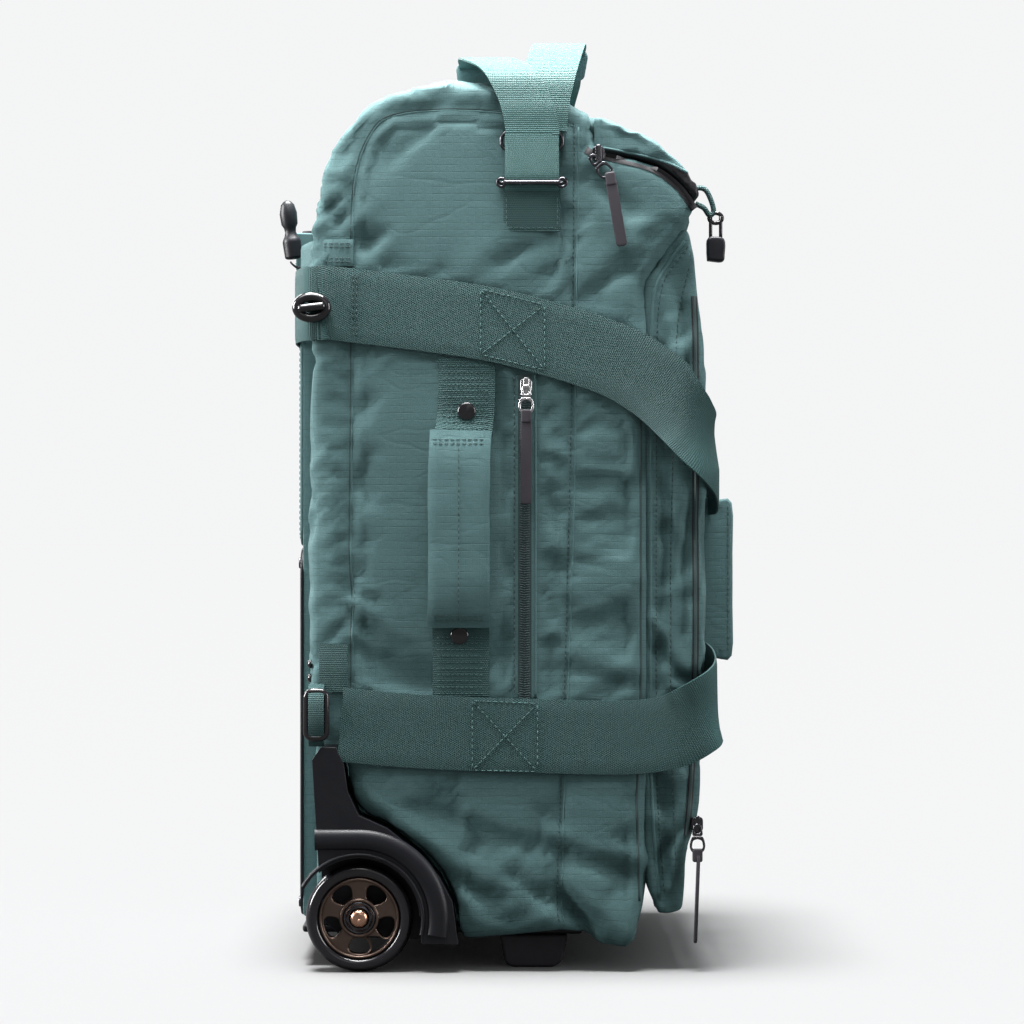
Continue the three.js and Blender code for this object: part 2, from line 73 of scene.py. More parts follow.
# ---- driving dimensions, in the bag's own millimetres as the CAD model uses them ----
MM = 0.001
PANEL_BACK_X = -140  # rear edge of the side panels before the model is centred
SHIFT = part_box("side_panel_right")[0].x / MM - PANEL_BACK_X
HALF_WIDTH = -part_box("side_panel_right")[0].y / MM
WHEEL_X = -108
WHEEL_Z = 38
FENDER_RADIUS = 56
FENDER_LIP_RADIUS = 45.5
HOUSING_Y = -176.6  # outer face of the right wheel housing
STRAP_WIDTH = 52
HAUL_WIDTH = 38
POCKET_HALF_WIDTH = 166.5
CLOTH_VOXEL = 4.1
CLOTH_FRAMES = 14
SIDE_FLATTENING = 0.85  # share taken off whatever bulges past the trim on the sides
FRONT_FLATTENING = 0.75  # the same for the front pocket

VIEW_HEIGHT = 325
VIEW_DISTANCE = 2440
VIEW_FIELD = 778  # width seen at the middle of the bag

BACKDROP = (0.905, 0.91, 0.915)
WORLD_LIGHT = 0.2
FLOOR_COLOR = (0.8, 0.803, 0.807)
FLOOR_BOUNCE = (0.22, 0.22, 0.22)
FLOOR_SUN = 3.12

CORD_DIAMETER = 1.4

SIDES = (("right", 1), ("left", -1))


def at(x, y, z):
    """A point given in the bag's millimetres, in the frame's metres."""
    return Vector(((x + SHIFT) * MM, y * MM, z * MM))


# ---- camera, light and floor ----
def make_camera():
    data = bpy.data.cameras.new("camera")
    data.sensor_width = 36
    data.lens = data.sensor_width * VIEW_DISTANCE / VIEW_FIELD
    data.clip_end = 50
    camera = bpy.data.objects.new("camera", data)
    camera.location = at(0, -VIEW_DISTANCE, VIEW_HEIGHT)
    camera.rotation_euler = (math.radians(90), 0, 0)
    bpy.context.scene.collection.objects.link(camera)
    bpy.context.scene.camera = camera


def add_light(name, kind, place, target, power, floor, floor_only=False, **shape):
    """A light that reaches either the bag or the floor, so that each gets its own brightness."""
    data = bpy.data.lights.new(name, kind)
    data.energy = power
    for key, value in shape.items():
        setattr(data, key, value)
    light = bpy.data.objects.new(name, data)
    light.location = Vector(place)
    light.rotation_euler = (Vector(target) - light.location).to_track_quat("-Z", "Y").to_euler()
    bpy.context.scene.collection.objects.link(light)
    reached = bpy.data.collections.new(f"{name}_reach")
    reached.objects.link(floor)
    light.light_linking.receiver_collection = reached
    state = "INCLUDE" if floor_only else "EXCLUDE"
    reached.collection_objects[0].light_linking.link_state = state


def make_world():
    """The backdrop looks pale, and lights the bag less than it shows."""
    world = bpy.data.worlds.new("studio")
    bpy.context.scene.world = world
    world.use_nodes = True
    nodes, links = world.node_tree.nodes, world.node_tree.links
    background = nodes["Background"]
    background.inputs["Color"].default_value = (*BACKDROP, 1)
    seen = nodes.new("ShaderNodeLightPath").outputs["Is Camera Ray"]
    strength = nodes.new("ShaderNodeMapRange")
    strength.inputs["To Min"].default_value = WORLD_LIGHT
    strength.inputs["To Max"].default_value = 1.0
    links.new(seen, strength.inputs["Value"])
    links.new(strength.outputs[0], background.inputs["Strength"])


def floor_material():
    """Pale paper that throws less light back at the bag than it shows."""
    tree = Tree("floor_paper")
    seen = tree.node("ShaderNodeLightPath").outputs["Is Camera Ray"]
    tree.feed(tree.shader.inputs["Base Color"], tree.mix(seen, FLOOR_BOUNCE, FLOOR_COLOR))
    tree.shader.inputs["Roughness"].default_value = 0.9
    tree.shader.inputs["Specular IOR Level"].default_value = 0.1
    return tree.material


def make_studio():
    scene = bpy.context.scene
    scene.view_settings.view_transform = "Standard"
    make_world()
    mesh = bpy.data.meshes.new("floor")
    half = 30
    corners = [(-half, -half, 0), (half, -half, 0), (half, half, 0), (-half, half, 0)]
    mesh.from_pydata(corners, [], [(0, 1, 2, 3)])
    floor = bpy.data.objects.new("floor", mesh)
    scene.collection.objects.link(floor)
    mesh.materials.append(floor_material())

    middle = (0, 0, 0.35)
    high = (0, -0.1, 0.5)
    panel = {"shape": "RECTANGLE"}
    add_light("overhead", "AREA", (0.0, -0.05, 1.9), middle, 220, floor, size=1.1, size_y=0.9, **panel)
    add_light("front_top", "AREA", (-0.3, -0.6, 1.35), high, 12.5, floor, size=0.9, size_y=0.5, **panel)
    add_light("left_low", "AREA", (-2.1, -0.3, 0.95), middle, 104, floor, size=0.7, size_y=1.2, **panel)
    add_light("front_fill", "AREA", (0.6, -2.9, 1.5), middle, 4, floor, size=1.4, size_y=1.2, **panel)
    add_light("rim_right", "AREA", (2.0, -0.7, 0.8), middle, 27, floor, size=0.7, size_y=1.3, **panel)
    add_light("rim_back", "AREA", (-1.1, 2.3, 1.3), middle, 24, floor, size=1.2, size_y=1.2, **panel)
    add_light(
        "floor_light", "SUN", (0, 0, 4), (0.3, 0.2, 0), FLOOR_SUN, floor, floor_only=True,
        angle=math.radians(22),
    )


# ---- material helpers ----
class Tree:
    """A small wrapper that makes node trees short to write."""

    def __init__(self, name):
        self.material = bpy.data.materials.new(name)
        self.material.use_nodes = True
        self.nodes = self.material.node_tree.nodes
        self.links = self.material.node_tree.links
        self.shader = self.nodes["Principled BSDF"]

    def node(self, kind, **settings):
        made = self.nodes.new(kind)
        for key, value in settings.items():
            setattr(made, key, value)
        return made

    def feed(self, socket, value):
        if isinstance(value, bpy.types.NodeSocket):
            self.links.new(value, socket)
        else:
            socket.default_value = value

    def math(self, operation, first, second=0.0, third=0.0):
        made = self.node("ShaderNodeMath", operation=operation)
        for socket, value in zip(made.inputs, (first, second, third)):
            self.feed(socket, value)
        return made.outputs[0]

    def uv(self):
        """The two coordinates along the cloth, in millimetres."""
        split = self.node("ShaderNodeSeparateXYZ")
        self.links.new(self.node("ShaderNodeUVMap", uv_map="cloth").outputs[0], split.inputs[0])
        return [self.math("MULTIPLY", split.outputs[i], 1 / MM) for i in range(2)]

    def place(self):
        return self.node("ShaderNodeTexCoord").outputs["Object"]

    def noise(self, scale, detail=4.0, roughness=0.55, vector=None):
        made = self.node("ShaderNodeTexNoise")
        made.inputs["Scale"].default_value = scale
        made.inputs["Detail"].default_value = detail
        made.inputs["Roughness"].default_value = roughness
        self.links.new(vector or self.place(), made.inputs["Vector"])
        return made.outputs["Fac"]

    def remap(self, value, low, high, to_low, to_high):
        made = self.node("ShaderNodeMapRange")
        for socket, amount in zip(made.inputs, (value, low, high, to_low, to_high)):
            self.feed(socket, amount)
        return made.outputs[0]

    def mix(self, factor, first, second):
        made = self.node("ShaderNodeMix", data_type="RGBA")
        self.feed(made.inputs["Factor"], factor)
        for socket, color in ((made.inputs["A"], first), (made.inputs["B"], second)):
            self.feed(socket, color if isinstance(color, bpy.types.NodeSocket) else (*color, 1))
        return made.outputs["Result"]

    def bump(self, height, distance, strength=1.0, under=None):
        made = self.node("ShaderNodeBump")
        made.inputs["Strength"].default_value = strength
        made.inputs["Distance"].default_value = distance
        self.links.new(height, made.inputs["Height"])
        if under is not None:
            self.links.new(under, made.inputs["Normal"])
        self.links.new(made.outputs[0], self.shader.inputs["Normal"])
        return made.outputs[0]


def plain_material(name, color, roughness, metallic=0.0):
    tree = Tree(name)
    tree.shader.inputs["Base Color"].default_value = (*color, 1)
    tree.shader.inputs["Roughness"].default_value = roughness
    tree.shader.inputs["Metallic"].default_value = metallic
    return tree.material


def ripstop_material(name, color, grid=5.0, sheen=0.03, line_depth=0.5):
    """Plain weave with a thicker thread every few millimetres, strongest across the height."""
    tree = Tree(name)
    across, along = tree.uv()
    wobble = tree.math("MULTIPLY", tree.noise(30, 2), 1.4)

    def grid_line(coordinate, width):
        phase = tree.math("FRACT", tree.math("DIVIDE", tree.math("ADD", coordinate, wobble), grid))
        distance = tree.math("ABSOLUTE", tree.math("SUBTRACT", phase, 0.5))
        return tree.remap(distance, 0.5 - width, 0.5, 0.0, 1.0)

    def stretched_noise(across_scale, along_scale, detail=3.0):
        made = tree.node("ShaderNodeTexNoise")
        made.inputs["Scale"].default_value = 1.0
        made.inputs["Detail"].default_value = detail
        vector = tree.node("ShaderNodeCombineXYZ")
        tree.feed(vector.inputs[0], tree.math("MULTIPLY", across, across_scale))
        tree.feed(vector.inputs[1], tree.math("MULTIPLY", along, along_scale))
        tree.links.new(vector.outputs[0], made.inputs["Vector"])
        return made.outputs["Fac"]

    broken = tree.remap(stretched_noise(0.11, 0.4), 0.36, 0.6, 0.12, 1.0)
    rows = tree.math("MULTIPLY", grid_line(along, 0.06), broken)
    columns = tree.math("MULTIPLY", grid_line(across, 0.045), tree.math("MULTIPLY", broken, 0.35))
    lines = tree.math("MAXIMUM", rows, columns)
    weave = tree.math(
        "MULTIPLY",
        tree.math("SINE", tree.math("MULTIPLY", across, 2 * math.pi / 0.8)),
        tree.math("SINE", tree.math("MULTIPLY", along, 2 * math.pi / 0.8)),
    )
    dark = tuple(c * (1 - line_depth) for c in color)
    light = tuple(c * 1.25 for c in color)
    faded = tree.remap(tree.noise(9, 3), 0.35, 0.7, 0.0, 0.5)
    body = tree.mix(faded, color, light)
    body = tree.mix(tree.remap(stretched_noise(0.2, 1.9), 0.4, 0.72, 0.0, 0.42), body, dark)
    body = tree.mix(tree.remap(tree.noise(1500, 2, 0.7), 0.38, 0.62, 0.0, 0.34), body, dark)
    tree.feed(tree.shader.inputs["Base Color"], tree.mix(lines, body, dark))
    tree.feed(tree.shader.inputs["Roughness"], tree.remap(weave, -1, 1, 0.62, 0.8))
    tree.shader.inputs["Sheen Weight"].default_value = sheen
    tree.shader.inputs["Sheen Roughness"].default_value = 0.4
    tree.shader.inputs["Specular IOR Level"].default_value = 0.2
    crossing = tree.math("ABSOLUTE", tree.math("SUBTRACT", stretched_noise(0.016, 0.034, 2.0), 0.5))
    crinkle = tree.bump(tree.remap(crossing, 0.0, 0.05, 0.0, 1.0), 0.0010, 0.14)
    rumple = tree.bump(tree.noise(42, 5, 0.6), 0.0018, 0.1, crinkle)
    threads = tree.math("ADD", tree.math("MULTIPLY", weave, 0.3), tree.math("MULTIPLY", lines, -0.7))
    tree.bump(threads, 0.00022, 0.9, rumple)
    return tree.material


def webbing_material(name, color, rib=1.3, gloss=0.5):
    """Woven tape: short floats in staggered rows."""
    tree = Tree(name)
    across, along = tree.uv()
    row = tree.math("DIVIDE", along, rib)
    stagger = tree.math("MULTIPLY", tree.math("FLOOR", row), 0.5)
    column = tree.math("ADD", tree.math("DIVIDE", across, 1.3), stagger)
    ridge = tree.math("SINE", tree.math("MULTIPLY", row, 2 * math.pi))
    floats = tree.math("SINE", tree.math("MULTIPLY", column, 2 * math.pi))
    height = tree.math("ADD", ridge, tree.math("MULTIPLY", floats, 0.8))
    speckle = tree.noise(900, 2, 0.7)
    # Painted relief shade: the colour follows the weave's height, so the raised floats are painted lighter
    # and the grooves between them darker, as painted highlight and shade; the speckle adds random tone.
    shade = tree.remap(tree.math("ADD", height, speckle), -1.2, 2.4, 0.0, 1.0)
    low = tuple(c * 0.72 for c in color)
    high = tuple(min(1.0, c * 1.55) for c in color)
    tree.feed(tree.shader.inputs["Base Color"], tree.mix(shade, low, high))
    tree.feed(tree.shader.inputs["Roughness"], tree.remap(speckle, 0.3, 0.7, gloss, gloss + 0.16))
    tree.shader.inputs["Specular IOR Level"].default_value = 0.24
    tree.bump(height, 0.00018, 0.8)
    return tree.material


def moulded_material(name, color, roughness, grain=1400, depth=0.00012, coat=0.0):
    """Moulded plastic or rubber with a fine grain and slight handling wear."""
    tree = Tree(name)
    worn = tree.remap(tree.noise(26, 6, 0.65), 0.45, 0.75, 0.0, 0.5)
    tree.feed(tree.shader.inputs["Base Color"], tree.mix(worn, color, tuple(c * 1.4 + 0.002 for c in color)))
    handled = tree.remap(tree.noise(60, 5), 0.3, 0.7, roughness - 0.05, roughness + 0.07)
    tree.feed(tree.shader.inputs["Roughness"], handled)
    tree.shader.inputs["Specular IOR Level"].default_value = 0.3
    tree.shader.inputs["Coat Weight"].default_value = coat
    tree.shader.inputs["Coat Roughness"].default_value = 0.12
    tree.bump(tree.noise(grain, 2, 0.5), depth, 0.6)
    return tree.material


def metal_material(name, color, roughness, brushed=0.0002):
    tree = Tree(name)
    tree.shader.inputs["Metallic"].default_value = 1.0
    stain = tree.remap(tree.noise(120, 4), 0.35, 0.7, 0.0, 0.5)
    tree.feed(tree.shader.inputs["Base Color"], tree.mix(stain, color, tuple(c * 0.7 for c in color)))
    polish = tree.remap(tree.noise(260, 3), 0.3, 0.7, roughness - 0.06, roughness + 0.08)
    tree.feed(tree.shader.inputs["Roughness"], polish)
    tree.bump(tree.noise(700, 2), brushed, 0.3)
    return tree.material


def make_materials():
    petrol = (0.064, 0.128, 0.132)
    return {
        "body_fabric": ripstop_material("ripstop", petrol),
        "gusset_fabric": ripstop_material("ripstop_soft", petrol, line_depth=0.3),
        "lining": ripstop_material("lining", (0.045, 0.055, 0.058), line_depth=0.15),
        "webbing": webbing_material("webbing", (0.02, 0.055, 0.055), gloss=0.5),
        "haul_webbing": webbing_material("haul_webbing", (0.036, 0.096, 0.092), 1.4, 0.4),
        "thread": plain_material("thread", (0.042, 0.098, 0.096), 0.75),
        # Stitching thread; the same dark colour also paints the shade in the back and pocket seams as thin
        # cords.
        "dark_thread_and_seam_shade": plain_material("dark_thread_and_seam_shade", (0.02, 0.042, 0.043), 0.8),
        "coated_tape": moulded_material("coated_tape", (0.014, 0.0135, 0.016), 0.5, 500, 0.0002),
        "zip_coil": moulded_material("zip_coil", (0.026, 0.046, 0.047), 0.5),
        "black_plastic": moulded_material("black_plastic", (0.006, 0.0064, 0.009), 0.42),
        "gloss_plastic": moulded_material("gloss_plastic", (0.008, 0.0075, 0.009), 0.14, 200, 0.00003, 0.6),
        "tyre": moulded_material("tyre", (0.010, 0.0095, 0.012), 0.2, 300, 0.00003, 0.5),
        "bronze": metal_material("bronze", (0.16, 0.115, 0.095), 0.34),
        "steel": metal_material("steel", (0.55, 0.55, 0.56), 0.24),
        "gunmetal": metal_material("gunmetal", (0.09, 0.09, 0.1), 0.22),
        "copper": metal_material("copper", (0.62, 0.36, 0.25), 0.25),
        "aluminium": metal_material("aluminium", (0.55, 0.56, 0.57), 0.32),
        "rubber": moulded_material("rubber", (0.03, 0.027, 0.033), 0.6, 700, 0.0001),
    }


# ---- mesh helpers ----
def new_object(name, vertices, faces, material, body="bag", smooth=True):
    mesh = bpy.data.meshes.new(name)
    mesh.from_pydata([tuple(v) for v in vertices], [], faces)
    mesh.validate()
    made = bpy.data.objects.new(name, mesh)
    bpy.context.scene.collection.objects.link(made)
    finish_piece(made, material, body, smooth)
    return made


SLOTS = {
    "gusset_fabric": "body_fabric",
    "lining": "body_fabric",
    "haul_webbing": "webbing",
    "thread": "webbing",
    "dark_thread_and_seam_shade": "webbing",
    "coated_tape": "rubber",
    "zip_coil": "webbing",
}


def finish_piece(piece, material, body, smooth=True):
    piece.data.materials.clear()
    piece.data.materials.append(MATERIALS[material])
    for polygon in piece.data.polygons:
        polygon.use_smooth = smooth
    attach(piece, body)
    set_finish(piece, SLOTS.get(material, material))


def apply_modifiers(piece):
    graph = bpy.context.evaluated_depsgraph_get()
    final = bpy.data.meshes.new_from_object(piece.evaluated_get(graph), depsgraph=graph)
    piece.modifiers.clear()
    piece.data = final


def add_modifier(piece, kind, **settings):
    modifier = piece.modifiers.new(kind.lower(), kind)
    for key, value in settings.items():
        setattr(modifier, key, value)
    return modifier


def recalculate_normals(piece):
    mesh = bmesh.new()
    mesh.from_mesh(piece.data)
    bmesh.ops.recalc_face_normals(mesh, faces=mesh.faces)
    mesh.to_mesh(piece.data)
    mesh.free()


def join_meshes(name, parts, material, body="bag", smooth=True):
    """One object from lists of (vertices, faces)."""
    vertices, faces = [], []
    for part_vertices, part_faces in parts:
        start = len(vertices)
        vertices.extend(part_vertices)
        faces.extend(tuple(start + i for i in face) for face in part_faces)
    return new_object(name, vertices, faces, material, body, smooth)


def refine(node, material, body, width=0.8, segments=3, angle=30):
    """A copy of a CAD node with rounded edges, which stands for it."""
    piece = bpy.data.objects.new(f"fine_{node}", frame["nodes"][node].data.copy())
    bpy.context.scene.collection.objects.link(piece)
    weld(piece)
    add_modifier(
        piece, "BEVEL", width=width * MM, segments=segments, limit_method="ANGLE",
        angle_limit=math.radians(angle), harden_normals=False,
    )
    apply_modifiers(piece)
    finish_piece(piece, material, body)
    add_modifier(piece, "WEIGHTED_NORMAL", keep_sharp=False)
    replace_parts(piece, node)
    return piece


def weld(piece):
    mesh = bmesh.new()
    mesh.from_mesh(piece.data)
    bmesh.ops.remove_doubles(mesh, verts=mesh.verts, dist=1e-6)
    bmesh.ops.dissolve_limit(mesh, angle_limit=math.radians(1), verts=mesh.verts, edges=mesh.edges)
    mesh.to_mesh(piece.data)
    mesh.free()


def turned(name, profile, x, z, material, body, segments=96):
    """A turned piece about an axis along Y; the closed profile lists (radius, y)."""
    vertices, faces = [], []
    count = len(profile)
    for step in range(segments):
        angle = 2 * math.pi * step / segments
        for radius, y in profile:
            vertices.append(at(x + radius * math.cos(angle), y, z + radius * math.sin(angle)))
        for i in range(count):
            j = (i + 1) % count
            following = (step + 1) % segments
            faces.append((step * count + i, step * count + j, following * count + j, following * count + i))
    piece = new_object(name, vertices, faces, material, body)
    weld(piece)
    recalculate_normals(piece)
    for polygon in piece.data.polygons:
        polygon.use_smooth = True
    return piece


def catmull(points, steps):
    """A smooth path through the points, which may have any number of coordinates."""
    points = np.array(points, float)
    padded = np.vstack([2 * points[0] - points[1], points, 2 * points[-1] - points[-2]])
    path = []
    for i in range(1, len(padded) - 2):
        a, b, c, d = padded[i - 1 : i + 3]
        for step in range(steps):
            t = step / steps
            square = (2 * a - 5 * b + 4 * c - d) * t**2
            cube = (3 * b - a - 3 * c + d) * t**3
            path.append(0.5 * (2 * b + (c - a) * t + square + cube))
    path.append(points[-1])
    return np.array(path)


def tube(points, radius, sides=8, closed=False):
    """Vertices and faces of a round rod along points in metres."""
    points = [Vector(p) for p in points]
    count = len(points)
    vertices, faces = [], []
    normal = None
    for i, point in enumerate(points):
        before = points[i - 1] if closed or i > 0 else point
        after = points[(i + 1) % count] if closed or i < count - 1 else point
        tangent = (after - before).normalized()
        if normal is None:
            normal = tangent.orthogonal().normalized()
        normal = (normal - tangent * normal.dot(tangent)).normalized()
        side = tangent.cross(normal)
        for k in range(sides):
            angle = 2 * math.pi * k / sides
            vertices.append(point + (normal * math.cos(angle) + side * math.sin(angle)) * radius)
    for i in range(count if closed else count - 1):
        here, there = i * sides, ((i + 1) % count) * sides
        for k in range(sides):
            other = (k + 1) % sides
            faces.append((here + k, here + other, there + other, there + k))
    if not closed:
        faces.append(tuple(reversed(range(sides))))
        faces.append(tuple((count - 1) * sides + k for k in range(sides)))
    return vertices, faces


def rod_loop(name, points, radius, material, body="bag", sides=12):
    vertices, faces = tube([at(*p) for p in points], radius * MM, sides, closed=True)
    return new_object(name, vertices, faces, material, body)


def box_uv(piece, rest=None):
    """Cloth coordinates in metres from the face's resting direction."""
    mesh = piece.data
    rest = rest if rest is not None else np.array([v.co for v in mesh.vertices])
    layer = mesh.uv_layers.get("cloth") or mesh.uv_layers.new(name="cloth")
    for polygon in mesh.polygons:
        corners = rest[list(polygon.vertices)]
        normal = np.abs(np.cross(corners[1] - corners[0], corners[2] - corners[0]))
        if normal[2] > max(normal[0], normal[1]) * 1.6:
            axes = (1, 0)
        elif normal[1] > normal[0]:
            axes = (0, 2)
        else:
            axes = (1, 2)
        for loop, corner in zip(polygon.loop_indices, corners):
            layer.data[loop].uv = (corner[axes[0]], corner[axes[1]])


# ---- flat webbing and ribbons ----
def ribbon_parts(stations, width, thick, steps=6, columns=8, ups=False, loop=False):
    """Vertices, faces and cloth coordinates of tape along stations [x, y, z, facing]."""
    if loop:
        stations = stations + [stations[0]]
    turns = [(x, y, z, math.cos(math.radians(f)), math.sin(math.radians(f))) for x, y, z, f in stations]
    path = catmull(turns, steps)
    if loop:
        path = path[:-1]
    count = len(path)
    centres = [Vector(p[:3]) for p in path]
    ring = []
    for k in range(columns + 1):
        ring.append((k / columns - 0.5, 0.5))
    for k in range(columns, -1, -1):
        ring.append((k / columns - 0.5, -0.5))
    vertices, faces, coordinates = [], [], []
    travelled = 0.0
    for i, centre in enumerate(centres):
        before = centres[i - 1] if loop or i > 0 else centre
        after = centres[(i + 1) % count] if loop or i < count - 1 else centre
        if i:
            travelled += (centre - centres[i - 1]).length
        along = (after - before).normalized()
        if ups:
            across = Vector((1, 0, 0))
            out = across.cross(along).normalized()
        else:
            out = Vector((path[i][3], path[i][4], 0))
            across = along.cross(out).normalized()
            out = across.cross(along).normalized()
        for side, face in ring:
            edge = 0.55 if abs(side) > 0.49 else 1.0
            point = centre + across * (side * width) + out * (face * thick * edge)
            vertices.append(at(*point))
            coordinates.append((side * width * MM, travelled * MM))
    size = len(ring)
    for i in range(count if loop else count - 1):
        here, there = i * size, ((i + 1) % count) * size
        for k in range(size):
            other = (k + 1) % size
            faces.append((here + k, here + other, there + other, there + k))
    if not loop:
        faces.append(tuple(reversed(range(size))))
        faces.append(tuple((count - 1) * size + k for k in range(size)))
    return vertices, faces, coordinates


def ribbon(name, stations, width, thick, material, body="bag", **shape):
    vertices, faces, coordinates = ribbon_parts(stations, width, thick, **shape)
    piece = new_object(name, vertices, faces, material, body)
    set_cloth_uv(piece, coordinates)
    recalculate_normals(piece)
    piece.data.set_sharp_from_angle(angle=math.radians(40))
    return piece


def facing_left(stations, sign):
    """The same stations on the right (sign 1), or mirrored on to the left side (sign -1)."""
    return stations if sign > 0 else [[x, -y, z, 90] for x, y, z, _ in stations]


def mirrored_half(stations):
    """The other half of a path whose last station is on the bag's middle."""
    return [[x, -y, z, 360 - facing] for x, y, z, facing in reversed(stations[:-1])]


# ---- stitches ----
def stitch_parts(points, length=2.6, gap=1.4, thick=0.55, lift=0.25, out=Vector((0, -1, 0))):
    """Short raised threads along a path of points in metres."""
    parts = []
    distances = [0.0]
    for a, b in zip(points, points[1:]):
        distances.append(distances[-1] + (b - a).length)

    def along(distance):
        for i in range(1, len(points)):
            if distances[i] >= distance:
                span = distances[i] - distances[i - 1]
                share = (distance - distances[i - 1]) / span if span else 0
                return points[i - 1].lerp(points[i], share)
        return points[-1]

    position = gap * MM
    while position + length * MM < distances[-1]:
        start, end = along(position), along(position + length * MM)
        middle = (start + end) / 2 + out * (lift + thick * 0.35) * MM
        stations = [start - out * 0.2 * MM, start.lerp(middle, 0.4) + out * lift * MM, middle,
                    end.lerp(middle, 0.4) + out * lift * MM, end - out * 0.2 * MM]
        parts.append(tube(stations, thick * MM / 2, 5))
        position += (length + gap) * MM
    return parts


class Surface:
    """Finds points on a cloth piece, so that trim lies on its folds."""

    def __init__(self, piece):
        graph = bpy.context.evaluated_depsgraph_get()
        self.tree = BVHTree.FromObject(piece, graph)

    def side(self, x, z, sign, lift=0.0):
        """The outermost point at (x, z) on the right (sign 1) or left (sign -1) side."""
        start = at(x, -sign * 400, z)
        hit = self.tree.ray_cast(start, Vector((0, sign, 0)))[0]
        found = hit if hit is not None else at(x, -sign * HALF_WIDTH, z)
        return found + Vector((0, -sign * lift * MM, 0))


def side_path(surface, points, sign, lift, step=4.0):
    """Points in metres on the side of the bag, along a polyline in (x, z)."""
    path = []
    for (x0, z0), (x1, z1) in zip(points, points[1:]):
        count = max(1, int(math.hypot(x1 - x0, z1 - z0) / step))
        for i in range(count):
            share = i / count
            path.append(surface.side(x0 + (x1 - x0) * share, z0 + (z1 - z0) * share, sign, lift))
    path.append(surface.side(*points[-1], sign, lift))
    return path


def side_stitches(name, surface, lines, sign=1, lift=0.2, material="dark_thread_and_seam_shade", **shape):
    out = Vector((0, -sign, 0))
    parts = []
    for line in lines:
        parts += stitch_parts(side_path(surface, line, sign, lift), out=out, **shape)
    return join_meshes(name, parts, material)


def strip_faces(rows, size):
    """The faces of a closed section of size points carried through a number of rows, with both ends."""
    faces = []
    for i in range(rows - 1):
        for k in range(size):
            other = (k + 1) % size
            faces.append((i * size + k, i * size + other, (i + 1) * size + other, (i + 1) * size + k))
    faces.append(tuple(reversed(range(size))))
    faces.append(tuple((rows - 1) * size + k for k in range(size)))
    return faces


def set_cloth_uv(piece, coordinates):
    layer = piece.data.uv_layers.new(name="cloth")
    for polygon in piece.data.polygons:
        for loop in polygon.loop_indices:
            layer.data[loop].uv = coordinates[piece.data.loops[loop].vertex_index]


def side_tape(name, surface, points, width, thick, sign, material, lift=0.3, columns=4):
    """A flat strip lying on the side of the bag along (x, z), following its folds."""
    centre = side_points(points, 5.0)
    vertices, coordinates = [], []
    travelled = 0.0
    size = 2 * (columns + 1)
    for i, (x, z) in enumerate(centre):
        ahead = centre[min(i + 1, len(centre) - 1)]
        behind = centre[max(i - 1, 0)]
        dx, dz = ahead[0] - behind[0], ahead[1] - behind[1]
        norm = math.hypot(dx, dz)
        nx, nz = dz / norm, -dx / norm
        if i:
            travelled += math.hypot(x - centre[i - 1][0], z - centre[i - 1][1])
        top, under = [], []
        for k in range(columns + 1):
            offset = (k / columns - 0.5) * width
            edge = 0.4 if k in (0, columns) else 1.0
            point = surface.side(x + nx * offset, z + nz * offset, sign)
            top.append(point + Vector((0, -sign * (lift + thick * edge) * MM, 0)))
            under.append(point + Vector((0, sign * 0.6 * MM, 0)))
            coordinates.append((offset * MM, travelled * MM))
        coordinates += list(reversed(coordinates[-(columns + 1):]))
        vertices += top + under[::-1]
    piece = new_object(name, vertices, strip_faces(len(centre), size), material)
    set_cloth_uv(piece, coordinates)
    recalculate_normals(piece)
    piece.data.set_sharp_from_angle(angle=math.radians(40))
    return piece


def side_points(points, step):
    path = []
    for (x0, z0), (x1, z1) in zip(points, points[1:]):
        count = max(1, int(math.hypot(x1 - x0, z1 - z0) / step))
        path += [(x0 + (x1 - x0) * i / count, z0 + (z1 - z0) * i / count) for i in range(count)]
    return path + [tuple(points[-1])]


# ---- cloth shells ----
def smooth_outline(points, sharp=(), steps=5):
    """A closed outline with round corners, except at the points whose index is in sharp."""
    count = len(points)
    order = list(range(count))
    if sharp:
        start = sharp[0]
        order = order[start:] + order[:start]
    outline = []
    run = [points[order[0]]]
    for index in order[1:] + [order[0]]:
        run.append(points[index])
        if index in sharp or index == order[0]:
            outline += [tuple(p) for p in catmull(run, steps)[:-1]] if len(run) > 2 else [run[0]]
            run = [points[index]]
    return outline


def sack(name, outline, half_width, corner, corner_share, voxel):
    """A rounded closed solid of the outline in (x, z), ready to be simulated."""
    mesh = bmesh.new()
    near = [mesh.verts.new(at(x, -half_width, z)) for x, z in outline]
    far = [mesh.verts.new(at(x, half_width, z)) for x, z in outline]
    mesh.faces.new(near)
    mesh.faces.new(far[::-1])
    count = len(outline)
    for i in range(count):
        j = (i + 1) % count
        mesh.faces.new((near[j], near[i], far[i], far[j]))
    bmesh.ops.recalc_face_normals(mesh, faces=mesh.faces)
    weight = mesh.edges.layers.float.new("bevel_weight_edge")
    for edge in mesh.edges:
        a, b = (vertex.co for vertex in edge.verts)
        if abs(a.y - b.y) < 1e-6:
            middle = (a + b) / 2
            edge[weight] = corner_share(middle.x / MM - SHIFT, middle.z / MM)
    data = bpy.data.meshes.new(name)
    mesh.to_mesh(data)
    mesh.free()
    piece = bpy.data.objects.new(name, data)
    bpy.context.scene.collection.objects.link(piece)
    add_modifier(piece, "BEVEL", width=corner * MM, segments=6, limit_method="WEIGHT")
    add_modifier(piece, "REMESH", mode="VOXEL", voxel_size=voxel * MM, use_smooth_shade=True)
    apply_modifiers(piece)
    return piece


def coordinates_of(piece):
    flat = np.empty(len(piece.data.vertices) * 3)
    piece.data.vertices.foreach_get("co", flat)
    return flat.reshape(-1, 3)


def set_coordinates(piece, points):
    piece.data.vertices.foreach_set("co", np.asarray(points, float).ravel())
    piece.data.update()


